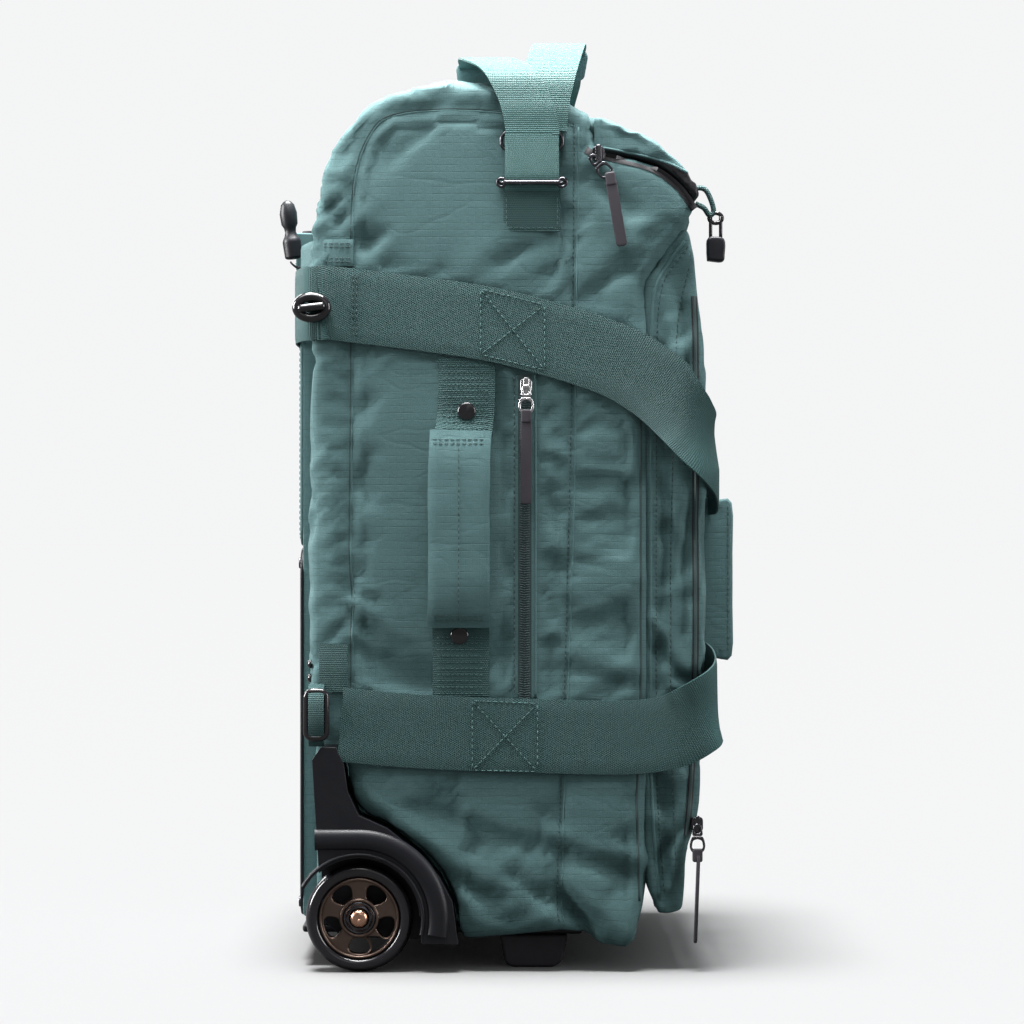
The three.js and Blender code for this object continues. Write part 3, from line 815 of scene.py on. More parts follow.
def simulate_cloth(piece, hold, slack, pressure, cap, frames=CLOTH_FRAMES):
    """Lets the cloth buckle: it is a little larger than the space it is sewn into.
    hold gives each vertex's pinning from 0 to 1, and cap limits how far a point may move, in mm."""
    rest = coordinates_of(piece)
    group = piece.vertex_groups.new(name="hold")
    for index, value in enumerate(hold):
        if value > 0:
            group.add([index], float(value), "REPLACE")
    cloth = add_modifier(piece, "CLOTH")
    settings = cloth.settings
    settings.quality = 4
    settings.mass = 0.15
    settings.tension_stiffness = 12
    settings.compression_stiffness = 12
    settings.shear_stiffness = 4
    settings.bending_stiffness = 0.12
    settings.vertex_group_mass = "hold"
    settings.pin_stiffness = 1.0
    settings.shrink_min = -slack
    settings.shrink_max = -slack
    settings.use_pressure = True
    settings.uniform_pressure_force = pressure
    settings.effector_weights.gravity = 0.0
    cloth.collision_settings.use_self_collision = False
    cloth.collision_settings.use_collision = False
    scene = bpy.context.scene
    cloth.point_cache.frame_start = 1
    cloth.point_cache.frame_end = frames
    for step in range(1, frames + 1):
        scene.frame_set(step)
    apply_modifiers(piece)
    scene.frame_set(1)
    moved = coordinates_of(piece) - rest
    length = np.linalg.norm(moved, axis=1, keepdims=True)
    limit = cap * MM
    scale = np.where(length > 1e-9, limit * np.tanh(length / limit) / np.maximum(length, 1e-9), 0)
    set_coordinates(piece, rest + moved * scale)
    return rest


def line_distance(points, line):
    """Distance of each (x, z) point, in mm, to a polyline."""
    best = np.full(len(points), 1e9)
    for a, b in zip(line, line[1:]):
        a, b = np.array(a, float), np.array(b, float)
        span = b - a
        share = np.clip(((points - a) @ span) / (span @ span), 0, 1)
        best = np.minimum(best, np.linalg.norm(points - (a + share[:, None] * span), axis=1))
    return best


def press_creases(piece, rest, creases, strength=1.0):
    """Adds folds on the sides: each is (line in (x, z), width, depth), in mm, valley if negative."""
    points = coordinates_of(piece)
    plan = np.column_stack([rest[:, 0] / MM - SHIFT, rest[:, 2] / MM])
    side = np.clip((np.abs(rest[:, 1]) / MM - 120) / 40, 0, 1) * np.sign(rest[:, 1])
    for line, width, depth in creases:
        ends = np.array([line[0], line[-1]], float)
        length = np.linalg.norm(ends[1] - ends[0])
        middle = ends.mean(axis=0)
        fade = np.clip(1.15 - np.linalg.norm(plan - middle, axis=1) / (0.62 * length + width), 0, 1)
        profile = np.exp(-((line_distance(plan, line) / width) ** 2)) * np.sqrt(fade)
        points[:, 1] += side * profile * depth * strength * MM
    set_coordinates(piece, points)


# ---- toggle and its cord, which come before the rest ----
def make_toggle_cord():
    route = [
        (-150, -92.3, 504.5), (-153, -94.8, 503.4), (-157, -96.4, 503.8), (-160.4, -97.3, 505.9),
        (-161.2, -99.5, 507), (-160.4, -101.8, 505.9), (-157, -102.2, 503), (-153, -100.4, 501.6),
        (-149.4, -96.8, 501.6), (-147, -92.3, 503.2),
    ]
    path = [at(*p) for p in catmull(route, 6)]
    vertices, faces = tube(path, CORD_DIAMETER * MM / 2, 10)
    loop = new_object("cord_loop", vertices, faces, "black_plastic")
    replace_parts(loop, "toggle_cord")
    toggle = refine("toggle", "black_plastic", "bag", 1.6, 3)


# ---- outlines and seams of the fabric, in (x, z) ----
BODY_OUTLINE = [
    (-140, 166), (-140, 505), (-136, 545), (-127, 582), (-110, 610), (-79, 623), (-30, 622),
    (40, 611), (57, 605), (58, 580), (97, 571.5), (118, 557), (130, 541), (122, 529), (98, 490),
    (95, 440), (95, 200), (93, 60), (86, 30), (-36, 30), (-39, 52), (-48, 70), (-61, 86),
    (-86, 105), (-105, 114), (-113, 130), (-116, 149), (-120, 161),
]
CORE_OUTLINE = [(-140, 30), (-140, 220), (20, 220), (20, 30)]
CORE_HALF_WIDTH = 142
POCKET_OUTLINE = [
    (95, 60), (103, 44), (110, 38), (123, 39), (127, 62), (131, 104), (135, 160), (138, 300), (138, 440),
    (136, 505), (131.5, 530), (121, 526), (97, 492), (92.5, 470), (91.5, 300), (92, 140),
]
FLAP_OUTLINE = [
    (58, 606), (90, 595), (110, 582), (127, 566), (134, 548), (131.5, 544), (119, 559.5),
    (97.6, 573.5), (58, 580),
]
FLAP_HALF_WIDTH = 171
MOUTH_BACK_X = 64
MOUTH_LOW_Z = 546
MOUTH_HALF_WIDTH = 161
BACK_SEAM = [(-114, 168), (-114, 240), (-113, 264), (-115, 300), (-114, 420), (-114, 505), (-112, 560),
             (-101, 592), (-84, 606), (-40, 610), (10, 606), (44, 599)]
FRONT_SEAM = [(44, 597), (43, 480), (41, 350), (37, 200), (32, 60), (34, 32)]
FRONT_EDGE_SEAM = [(93, 440), (93, 200), (90, 120), (92, 50)]
UPPER_STRAP_LINE = [(-140, 471), (-120, 471), (-30, 460), (20, 449), (75, 431), (108, 412), (131, 391)]
LOWER_STRAP_LINE = [(-113, 174), (-60, 170), (20, 167), (80, 166), (131, 180)]
HOUSING_LINE = [(-36, 30), (-39, 52), (-48, 70), (-61, 86), (-86, 105), (-105, 114), (-113, 130), (-120, 161)]
BOTTOM_LINE = [(-36, 30), (86, 30)]
ZIP_LINE = [(10, 421), (9, 193)]
POCKET_EDGE = [
    (122.5, 517), (112, 503), (103, 488), (99.5, 468), (98.5, 440),
    (98, 320), (98, 200), (99, 120), (104, 52),
]
POCKET_GUSSET_STITCHES = [(126, 500), (119, 470), (115, 420), (113, 330), (112, 240), (113, 150), (116, 70)]
FLAP_EDGE = [(60, 583), (75, 580.5), (92, 577), (108, 572.5), (120, 567), (128, 562)]

# Folds pressed into both sides: a line in (x, z), its width and its depth outwards.
BODY_CREASES = [
    ([(-112, 527), (-92, 546)], 5, 2.2),
    ([(-106, 497), (-80, 522)], 6, 2.4),
    ([(-108, 512), (-88, 523)], 5, -2.0),
    ([(-32, 500), (-2, 524)], 7, 2.6),
    ([(-20, 499), (12, 512)], 6, -2.2),
    ([(47, 492), (76, 516)], 6, 2.6),
    ([(52, 476), (88, 506)], 7, -2.4),
    ([(50, 560), (84, 536)], 9, -2.0),
    ([(60, 545), (92, 500)], 8, 2.2),
    ([(-113, 264), (-100, 252)], 4, 2.6),
    ([(-113, 268), (-88, 262)], 5, -2.0),
    ([(-112, 240), (-92, 228)], 5, 2.0),
    ([(-110, 300), (-70, 285)], 8, 1.4),
    ([(-84, 104), (28, 46)], 6, 2.6),
    ([(-78, 92), (-10, 52)], 6, -2.6),
    ([(-66, 84), (-20, 62)], 5, 2.6),
    ([(-104, 130), (-70, 100)], 6, 2.2),
    ([(-60, 116), (20, 88)], 8, -1.8),
    ([(-40, 54), (30, 40)], 6, 2.4),
    ([(0, 68), (44, 36)], 5, -3.0),
    ([(33, 97), (92, 80)], 7, 2.8),
    ([(38, 84), (90, 66)], 7, -2.6),
    ([(40, 120), (88, 112)], 8, 1.6),
    ([(36, 54), (56, 30)], 5, -7.0),
    ([(44, 60), (84, 34)], 7, 4.0),
    ([(62, 40), (80, 28)], 6, -3.0),
    ([(42, 226), (86, 214)], 6, 1.8),
    ([(42, 216), (84, 202)], 5, -1.8),
    ([(50, 340), (90, 346)], 8, -1.4),
    ([(46, 270), (90, 280)], 9, 1.5),
    ([(-70, 150), (10, 140)], 8, 1.4),
]
GUSSET_FOLDS = [(-0.5, 313), (-0.3, 296), (0.4, 264), (0.2, 240), (-0.2, 222), (0.3, 330), (0.1, 360)]


def body_corner_share(x, z):
    """How round each edge between a side and the band round it is, as a share of the largest."""
    if x < -125 and z < 600:
        return 0.9
    if z > 600:
        return 0.5
    if x > 57 and z > 535:
        return 0.12
    if x > 84:
        return 0.3
    if z < 40:
        return 0.45
    return 0.1


def plan_of(points):
    return np.column_stack([points[:, 0] / MM - SHIFT, points[:, 2] / MM])


def body_hold(rest):
    plan = plan_of(rest)
    side = np.abs(rest[:, 1]) / MM > HALF_WIDTH - 8
    held = np.zeros(len(rest))
    for line, width in (
        (BACK_SEAM, 4), (FRONT_SEAM, 4), (FRONT_EDGE_SEAM, 6), (HOUSING_LINE, 7), (BOTTOM_LINE, 3),
        (ZIP_LINE, 10), (UPPER_STRAP_LINE, 26), (LOWER_STRAP_LINE, 26),
    ):
        near = line_distance(plan, line) < width
        held[near & side] = 1.0
    held[plan[:, 1] < 36] = 1.0
    held[(plan[:, 0] < -132) & (np.abs(rest[:, 1]) / MM < 120)] = 1.0
    held[(plan[:, 0] > 57) & (plan[:, 1] > 535)] = 1.0
    held[(plan[:, 1] < 168) & (plan[:, 0] < -36) & (plan[:, 1] < 120)] = 1.0
    return held


def limit_outward(piece, half_width, room):
    """Fabric on the sides stays behind the trim that lies on it."""
    points = coordinates_of(piece)
    reach = (half_width + room) * MM
    over = np.abs(points[:, 1]) - reach
    points[:, 1] -= np.sign(points[:, 1]) * np.where(over > 0, over * SIDE_FLATTENING, 0)
    set_coordinates(piece, points)


def limit_forward(piece, front_x):
    """Flattens what bulges past the straps across the front."""
    points = coordinates_of(piece)
    over = points[:, 0] / MM - SHIFT - front_x
    points[:, 0] -= np.where(over > 0, over * FRONT_FLATTENING, 0) * MM
    set_coordinates(piece, points)


def seam_puckers(piece, rest, lines, reach=7.0, depth=0.4, wave=19.0):
    """Short ripples that fade out away from a seam, and a groove at the seam itself."""
    points = coordinates_of(piece)
    plan = plan_of(rest)
    side = np.sign(rest[:, 1]) * (np.abs(rest[:, 1]) / MM > 140)
    for number, line in enumerate(lines):
        distance = line_distance(plan, line)
        travel = np.hypot(plan[:, 0], 0) * 0.3 + plan[:, 1]
        phase = 2.1 * np.sin(travel / 37 + number) + 1.3 * np.sin(travel / 11.3 + 2 * number)
        ripple = np.sin(2 * math.pi * travel / wave + phase) * np.exp(-distance / reach)
        groove = np.exp(-((distance / 2.6) ** 2)) * 1.3
        points[:, 1] += side * (ripple * depth - groove) * MM
    set_coordinates(piece, points)


def subdivide(piece):
    add_modifier(piece, "SUBSURF", levels=1, render_levels=1)
    apply_modifiers(piece)


def with_subdivided_rest(piece, rest):
    """Subdivides the piece and its resting place together, so both keep matching points."""
    moved = coordinates_of(piece)
    set_coordinates(piece, rest)
    still = piece.copy()
    still.data = piece.data.copy()
    bpy.context.scene.collection.objects.link(still)
    set_coordinates(piece, moved)
    subdivide(piece)
    subdivide(still)
    finer = coordinates_of(still)
    bpy.data.objects.remove(still)
    return finer


def make_body_shell():
    outline = smooth_outline(BODY_OUTLINE, sharp=(0, 8, 9, 12, 18, 19, 27), steps=4)
    shell = sack("body_shell", outline, HALF_WIDTH, 28, body_corner_share, CLOTH_VOXEL)
    core = sack("body_core", CORE_OUTLINE, CORE_HALF_WIDTH, 4, lambda x, z: 0.5, CLOTH_VOXEL)
    merge_solids(shell, core, CLOTH_VOXEL)
    start = coordinates_of(shell)
    rest = simulate_cloth(shell, body_hold(start), 0.03, 1.6, 6.0)
    press_creases(shell, rest, BODY_CREASES, 1.55)
    seam_puckers(shell, rest, [BACK_SEAM, FRONT_SEAM])
    crumple_gusset(shell, rest)
    crown_top(shell, rest)
    sag_bottom(shell, rest)
    limit_outward(shell, HALF_WIDTH, 1.6)
    box_uv(shell, rest)
    cut_mouth(shell)
    finish_piece(shell, "body_fabric", "bag")
    shell.data.materials.append(MATERIALS["lining"])
    add_modifier(shell, "SOLIDIFY", thickness=1.6 * MM, offset=-1, material_offset=1, use_rim=True)
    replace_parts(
        shell, "side_panel_right", "side_panel_left", "back_panel", "top_panel", "front_panel",
        "bottom_panel",
    )
    return shell


def merge_solids(piece, other, voxel):
    """Makes one skin round two overlapping solids."""
    mesh = bmesh.new()
    mesh.from_mesh(piece.data)
    mesh.from_mesh(other.data)
    mesh.to_mesh(piece.data)
    mesh.free()
    bpy.data.objects.remove(other)
    add_modifier(piece, "REMESH", mode="VOXEL", voxel_size=voxel * MM, use_smooth_shade=True)
    apply_modifiers(piece)


def crumple_gusset(piece, rest):
    """The band between the back and the side is loose and gathers above the grip's sleeve."""
    points = coordinates_of(piece)
    plan = plan_of(rest)
    band = np.clip((-112 - plan[:, 0]) / 8, 0, 1) * np.clip((np.abs(rest[:, 1]) / MM - 120) / 20, 0, 1)
    for slope, height in GUSSET_FOLDS:
        offset = plan[:, 1] - height - slope * (plan[:, 0] + 127)
        ridge = np.exp(-((offset / 7) ** 2)) - 0.8 * np.exp(-(((offset - 13) / 7) ** 2))
        points[:, 0] -= band * ridge * 0.9 * MM
    for height in (507, 519, 533):
        offset = plan[:, 1] - height - 0.8 * (plan[:, 0] + 127)
        ridge = np.exp(-((offset / 5) ** 2)) - 0.9 * np.exp(-(((offset - 9) / 5) ** 2))
        points[:, 0] -= band * ridge * 2.0 * MM
        points[:, 1] += np.sign(rest[:, 1]) * band * ridge * 1.6 * MM
    set_coordinates(piece, points)


def crown_top(piece, rest):
    """The top bulges up between its seams."""
    points = coordinates_of(piece)
    plan = plan_of(rest)
    along = np.clip((plan[:, 0] + 128) / 50, 0, 1) * np.clip((56 - plan[:, 0]) / 40, 0, 1)
    across = np.clip((HALF_WIDTH - np.abs(rest[:, 1]) / MM) / 24, 0, 1)
    high = np.clip((plan[:, 1] - 596) / 14, 0, 1)
    points[:, 2] += along * np.sqrt(across) * high * 6.5 * MM
    set_coordinates(piece, points)


def sag_bottom(piece, rest):
    """Both lower edges hang below the stiff base, most at the loose front corner."""
    points = coordinates_of(piece)
    plan = plan_of(rest)
    drop = np.interp(plan[:, 0], [-36, 0, 34, 52, 62, 80, 96], [8, 5, 1, 3, 12, 15, 2])
    edge = np.clip((np.abs(rest[:, 1]) / MM - 146) / 22, 0, 1)
    low = np.clip((62 - plan[:, 1]) / 32, 0, 1)
    points[:, 2] -= drop * edge * low * (plan[:, 0] > -37) * MM
    set_coordinates(piece, points)


def cut_mouth(piece):
    """Opens the main compartment under the flap."""
    mesh = bmesh.new()
    mesh.from_mesh(piece.data)
    mesh.faces.ensure_lookup_table()
    doomed = []
    for face in mesh.faces:
        middle = face.calc_center_median()
        x, z = middle.x / MM - SHIFT, middle.z / MM
        if x > MOUTH_BACK_X and z > MOUTH_LOW_Z and abs(middle.y) / MM < MOUTH_HALF_WIDTH:
            doomed.append(face)
    bmesh.ops.delete(mesh, geom=doomed, context="FACES")
    mesh.to_mesh(piece.data)
    mesh.free()


POCKET_CREASES = [
    ([(104, 440), (110, 300), (104, 200)], 5, -3.2),
    ([(112, 460), (118, 330), (114, 215)], 5, 2.6),
    ([(124, 470), (126, 340), (122, 240)], 4, -2.4),
    ([(100, 250), (124, 214)], 5, 2.6),
    ([(102, 228), (126, 205)], 5, -2.6),
    ([(106, 330), (128, 300)], 5, 1.8),
    ([(103, 140), (110, 92), (106, 50)], 5, -3.0),
    ([(114, 150), (122, 100), (112, 60)], 5, 2.6),
    ([(100, 110), (126, 84)], 5, 2.2),
    ([(104, 78), (122, 104)], 4, -2.6),
]


def pocket_corner_share(x, _z):
    return 0.25 if x < 110 else 0.9


def make_pocket():
    outline = smooth_outline(POCKET_OUTLINE, sharp=(0, 9, 10), steps=4)
    pocket = sack("pocket_shell", outline, POCKET_HALF_WIDTH, 10, pocket_corner_share, 5.0)
    start = coordinates_of(pocket)
    plan = plan_of(start)
    held = np.where(plan[:, 0] < 102, 1.0, 0.0)
    held[line_distance(plan, LOWER_STRAP_LINE) < 22] = 0.8
    rest = simulate_cloth(pocket, held, 0.05, 1.2, 6.0)
    rest = with_subdivided_rest(pocket, rest)
    press_creases(pocket, rest, POCKET_CREASES, 1.5)
    crumple_front(pocket, rest)
    limit_forward(pocket, 138)
    limit_outward(pocket, POCKET_HALF_WIDTH, 1.8)
    box_uv(pocket, rest)
    finish_piece(pocket, "body_fabric", "bag")
    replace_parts(pocket, "front_pocket")
    return pocket


def crumple_front(piece, rest):
    """Broad slack folds across the front face, which stays behind the straps."""
    points = coordinates_of(piece)
    plan = plan_of(rest)
    front = np.clip((plan[:, 0] - 112) / 16, 0, 1)
    y = rest[:, 1] / MM
    z = plan[:, 1]
    folds = np.sin((z + 0.35 * y) / 19 + 1.6 * np.sin(y / 61)) + np.sin((z - 0.5 * y) / 31 + 1.1)
    points[:, 0] += front * (folds * 0.9 - 0.8) * MM
    set_coordinates(piece, points)


def make_flap():
    outline = smooth_outline(FLAP_OUTLINE, sharp=(0, 4, 5, 8), steps=4)
    flap = sack("flap_shell", outline, FLAP_HALF_WIDTH, 9, lambda x, z: 0.9 if z > 570 else 0.3, 4.5)
    start = coordinates_of(flap)
    plan = plan_of(start)
    underside = line_distance(plan, FLAP_OUTLINE[5:]) < 3.5
    held = np.where(underside | (plan[:, 0] < 66), 1.0, 0.0)
    rest = simulate_cloth(flap, held, 0.03, 1.5, 4.0)
    rest = with_subdivided_rest(flap, rest)
    points = coordinates_of(flap)
    plan = plan_of(rest)
    top = np.clip((line_distance(plan, FLAP_OUTLINE[5:]) - 4) / 8, 0, 1)
    y = rest[:, 1] / MM
    folds = np.sin(y / 23 + plan[:, 0] / 31) + np.sin(y / 41 - plan[:, 0] / 17 + 2)
    points[:, 2] += top * (folds * 0.8 - 0.6) * MM
    set_coordinates(flap, points)
    box_uv(flap, rest)
    finish_piece(flap, "body_fabric", "flap")
    flap.data.materials.append(MATERIALS["lining"])
    flap.data.materials.append(MATERIALS["coated_tape"])
    edge_x, edge_z = zip(*FLAP_EDGE)
    for polygon in flap.data.polygons:
        x, z = polygon.center.x / MM - SHIFT, polygon.center.z / MM
        if z < np.interp(x, edge_x, edge_z):
            polygon.material_index = 1 if polygon.normal.z < -0.6 else 2
    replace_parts(flap, "top_flap")
    return flap


# ---- seams, stitches and zips on the fabric ----
STITCH = dict(length=2.6, gap=1.5, thick=0.5)
COARSE_STITCH = dict(length=2.8, gap=1.6, thick=0.65)


def offset_line(line, distance):
    """A polyline moved sideways by a distance, to the right of its direction."""
    moved = []
    for i, (x, z) in enumerate(line):
        ahead, behind = line[min(i + 1, len(line) - 1)], line[max(i - 1, 0)]
        dx, dz = ahead[0] - behind[0], ahead[1] - behind[1]
        norm = math.hypot(dx, dz)
        moved.append((x + dz / norm * distance, z - dx / norm * distance))
    return moved


def smooth_line(points, steps=4):
    return [tuple(p) for p in catmull(points, steps)]


def seam_cord(name, surface, line, sign, radius, material, sink=0.2, body="bag"):
    """A thin raised edge, such as piping or a folded seam, lying on the fabric."""
    path = side_path(surface, line, sign, -sink, 3.5)
    vertices, faces = tube(path, radius * MM, 7)
    piece = new_object(name, vertices, faces, material, body)
    box_uv(piece)
    return piece


def make_body_seams(surface, pocket_surface):
    back = smooth_line(BACK_SEAM)
    front = smooth_line(FRONT_SEAM)
    for side, sign in SIDES:
        # The back seam's thin dark cord is painted shade: it stands for the shadow in the seam's crease.
        seam_cord(f"back_seam_{side}", surface, back, sign, 0.5, "dark_thread_and_seam_shade", 0.3)
        seam_cord(f"back_seam_fold_{side}", surface, offset_line(back, 1.3), sign, 0.9, "gusset_fabric", 0.5)
        fold = offset_line(front, -3.0)
        seam_cord(f"front_seam_fold_{side}", surface, fold, sign, 0.85, "gusset_fabric", 0.45)
        side_stitches(f"front_seam_stitches_{side}", surface, [front], sign, **STITCH)
        # The dark cord in the groove where the pocket meets the body is painted shade of that groove.
        pocket_groove_line = offset_line(FRONT_EDGE_SEAM, 2.0)
        seam_cord(f"edge_seam_{side}", surface, pocket_groove_line, sign, 1.1, "dark_thread_and_seam_shade", 0.4)
        edge = smooth_line(POCKET_EDGE)
        seam_cord(f"pocket_piping_{side}", pocket_surface, edge, sign, 1.5, "gusset_fabric", 0.6)
        side_stitches(
            f"pocket_stitches_{side}", pocket_surface,
            [offset_line(edge, -4.2), smooth_line(POCKET_GUSSET_STITCHES)], sign, **STITCH,
        )


def zip_teeth(name, surface, x, z_low, z_high, sign, reach, lift, body="bag", pitch=1.7):
    """The woven-in coil of a closed zip: a chevron of short threads along a vertical line."""
    parts = []
    count = int((z_high - z_low) / pitch)
    for i in range(count):
        z = z_low + i * pitch
        for hand in (-1, 1):
            tip = surface.side(x, z - 0.7, sign, lift + 0.35)
            root = surface.side(x + hand * reach, z, sign, lift)
            parts.append(tube([root, tip], 0.5 * MM, 5))
    return join_meshes(name, parts, "zip_coil", body)


def make_side_zip(surface):
    x_mid, z_low, z_high = 9, 194, 422
    middle = [(x_mid, z_high), (x_mid, z_low)]
    side_tape("side_zip_tape", surface, middle, 15, 0.5, 1, "gusset_fabric", 0.1)
    side_tape("side_zip_inner_tape", surface, middle, 9.5, 0.3, 1, "zip_coil", 0.55)
    zip_teeth("side_zip_coil", surface, x_mid, z_low, z_high - 4, 1, 3.6, 1.1)
    edges = [[(x_mid - 7.4, z_high), (x_mid - 7.4, z_low)], [(x_mid + 7.6, z_high), (x_mid + 7.6, z_low)]]
    side_stitches("side_zip_stitches", surface, edges[:1], 1, 0.9, **COARSE_STITCH)
    seam_cord("side_zip_fold", surface, edges[1], 1, 1.0, "gusset_fabric", 0.1)
    end = [(x_mid - 7, z_low + 3), (x_mid + 7, z_low + 3)]
    side_stitches("side_zip_end_stitches", surface, [end], 1, 1.0, **STITCH)


def rounded_outline(width, height, radius, steps=6, x=0.0, z=0.0):
    """A rectangle with round corners, centred on (x, z)."""
    outline = []
    corners = ((1, 1, 0), (-1, 1, 90), (-1, -1, 180), (1, -1, 270))
    for sx, sz, start in corners:
        for i in range(steps + 1):
            angle = math.radians(start + 90 * i / steps)
            outline.append(
                (x + sx * (width / 2 - radius) + radius * math.cos(angle),
                 z + sz * (height / 2 - radius) + radius * math.sin(angle))
            )
    return outline


def ellipse_outline(width, height, x=0.0, z=0.0, steps=28):
    """An ellipse centred on (x, z), as a closed outline."""
    turns = [2 * math.pi * i / steps for i in range(steps)]
    return [(x + width / 2 * math.cos(turn), z + height / 2 * math.sin(turn)) for turn in turns]


PLANES = {
    "side": Matrix(((1, 0, 0), (0, 0, -1), (0, 1, 0))),
    "other_side": Matrix(((1, 0, 0), (0, 0, 1), (0, 1, 0))),
    "back": Matrix(((0, 0, -1), (1, 0, 0), (0, 1, 0))),
    "front": Matrix(((0, 0, 1), (1, 0, 0), (0, 1, 0))),
}


def plate(name, outlines, centre, depth, bevel, material, body="bag", plane="side", turn=0.0):
    """A flat piece with holes and rounded edges. The first outline is its edge, and the rest are
    holes. centre is the place of the outlines' origin, half way through the depth."""
    curve = bpy.data.curves.new(name, "CURVE")
    curve.dimensions = "2D"
    curve.fill_mode = "BOTH"
    curve.extrude = max(depth / 2 - bevel, 0.01)
    curve.bevel_depth = bevel
    curve.bevel_resolution = 3
    curve.offset = -bevel
    for outline in outlines:
        spline = curve.splines.new("POLY")
        spline.points.add(len(outline) - 1)
        for point, (u, v) in zip(spline.points, outline):
            point.co = (u, v, 0, 1)
        spline.use_cyclic_u = True
    source = bpy.data.objects.new(name, curve)
    bpy.context.scene.collection.objects.link(source)
    graph = bpy.context.evaluated_depsgraph_get()
    mesh = bpy.data.meshes.new_from_object(source.evaluated_get(graph), depsgraph=graph)
    bpy.data.objects.remove(source)
    rotation = PLANES[plane] @ Matrix.Rotation(math.radians(turn), 3, "Z")
    for vertex in mesh.vertices:
        vertex.co = at(*(Vector(centre) + rotation @ vertex.co))
    piece = bpy.data.objects.new(name, mesh)
    bpy.context.scene.collection.objects.link(piece)
    merge_close(piece)
    finish_piece(piece, material, body)
    recalculate_normals(piece)
    piece.data.set_sharp_from_angle(angle=math.radians(40))
    box_uv(piece)
    return piece


def merge_close(piece, distance=1e-6):
    mesh = bmesh.new()
    mesh.from_mesh(piece.data)
    bmesh.ops.remove_doubles(mesh, verts=mesh.verts, dist=distance)
    mesh.to_mesh(piece.data)
    mesh.free()


def join_pieces(name, pieces, *nodes):
    """Joins pieces that ride together into one, which stands for the given CAD nodes."""
    target = pieces[0]
    body, slot = target["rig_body"], target["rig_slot"]
    mesh = bmesh.new()
    materials = []
    for piece in pieces:
        material = piece.data.materials[0]
        if material not in materials:
            materials.append(material)
        start = len(mesh.faces)
        mesh.from_mesh(piece.data)
        mesh.faces.ensure_lookup_table()
        for face in mesh.faces[start:]:
            face.material_index = materials.index(material)
    data = bpy.data.meshes.new(name)
    mesh.to_mesh(data)
    mesh.free()
    for piece in pieces:
        bpy.data.objects.remove(piece)
    joined = bpy.data.objects.new(name, data)
    bpy.context.scene.collection.objects.link(joined)
    for material in materials:
        data.materials.append(material)
    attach(joined, body)
    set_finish(joined, slot)
    if nodes:
        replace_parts(joined, *nodes)
    return joined


def rounded(outline, steps=4):
    """The outline as one smooth closed curve."""
    return [tuple(p) for p in catmull(outline + outline[:1], steps)[:-1]]


def make_zip_pull(
    key, x, y, z_top, material, body, slider_body, lean=0.0, length=66, curl=0.0, ring_turn=0.0,
    edge_on=False,
):
    """A slider with its bridge on one body, and the ring, rubber loop and pull tab on another."""
    slider = [
        plate(f"{key}_slider_base", [rounded_outline(8.4, 10.5, 2.6)], (x, y + 3.4, z_top + 10), 2.4, 0.7,
              material, slider_body),
        plate(f"{key}_slider_neck", [rounded_outline(4.4, 12.5, 2.0)], (x, y + 1.6, z_top + 10), 2.2, 0.8,
              material, slider_body),
    ]
    bridge = [
        (0.0, 11.5), (2.3, 10.6), (3.2, 8.0), (3.5, 3.2), (0.0, 2.6), (-3.5, 3.2), (-3.2, 8.0), (-2.3, 10.6),
    ]
    bridge_hole = [(0.0, 9.0), (1.5, 7.8), (1.8, 5.2), (0.0, 4.6), (-1.8, 5.2), (-1.5, 7.8)]
    ring = [
        (0.0, 2.3), (3.7, 2.0), (5.2, -1.5), (5.4, -5.5), (3.8, -8.6),
        (0.0, -9.6), (-3.8, -8.6), (-5.4, -5.5), (-5.2, -1.5), (-3.7, 2.0),
    ]
    ring_hole = [
        (0.0, 0.4), (2.8, -0.6), (3.7, -3.4), (3.4, -6.0),
        (0.0, -7.2), (-3.4, -6.0), (-3.7, -3.4), (-2.8, -0.6),
    ]
    turn = math.degrees(lean)
    start = Vector((x, y - 1.5, z_top + 2))
    hang = Vector((math.sin(ring_turn), 0, -math.cos(ring_turn)))
    down = Vector((math.sin(lean), 0, -math.cos(lean)))
    top = start + (hang - down) * 12
    ring_angle = math.degrees(ring_turn)
    centre = start + hang * 2.5
    arch = [rounded(bridge), rounded(bridge_hole)]
    slider.append(plate(f"{key}_bridge", arch, centre, 1.9, 0.7, material, slider_body, turn=ring_angle))
    join_pieces(f"{key}_slider_body", slider, f"{key}_zip_slider")
    link = [rounded(ring), rounded(ring_hole)]
    loop = [rounded_outline(7.2, 9.5, 1.6)]
    pieces = [
        plate(f"{key}_ring", link, centre, 1.9, 0.7, material, body, turn=ring_angle),
        plate(f"{key}_loop", loop, top + down * 13.5, 3.4, 1.0, "rubber", body, turn=turn),
    ]
    half = 3.9
    end = -length + 13
    tab = [
        (-3.2, 3.0), (3.2, 3.0), (half, 0.6), (half, end + 2.2), (half - 0.6, end + 0.6), (half - 2.2, end),
        (2.2 - half, end), (0.6 - half, end + 0.6), (-half, end + 2.2), (-half, 0.6),
    ]
    tab_piece = plate(f"{key}_tab", [tab], top + down * 16.5, 2.3, 0.5, "rubber", body, turn=turn)
    if edge_on:
        turn_edge_on(tab_piece, x, y)
    if curl:
        bend_tab(tab_piece, z_top, length, curl)
    pieces.append(tab_piece)
    join_pieces(f"{key}_pull", pieces, f"{key}_zip_pull")


def turn_edge_on(piece, x, y):
    """Turns a hanging tab a quarter turn about the vertical, so that its edge faces the side."""
    centre = at(x, y, 0)
    points = coordinates_of(piece)
    offset = points[:, :2] - np.array(centre)[:2]
    points[:, 0] = centre.x + offset[:, 1]
    points[:, 1] = centre.y - offset[:, 0]
    set_coordinates(piece, points)


def bend_tab(piece, z_top, length, curl):
    """Bows a hanging tab forwards by up to curl at its middle."""
    points = coordinates_of(piece)
    share = np.clip((z_top - points[:, 2] / MM) / length, 0, 1)
    points[:, 0] += np.sin(share * math.pi) * curl * MM
    set_coordinates(piece, points)


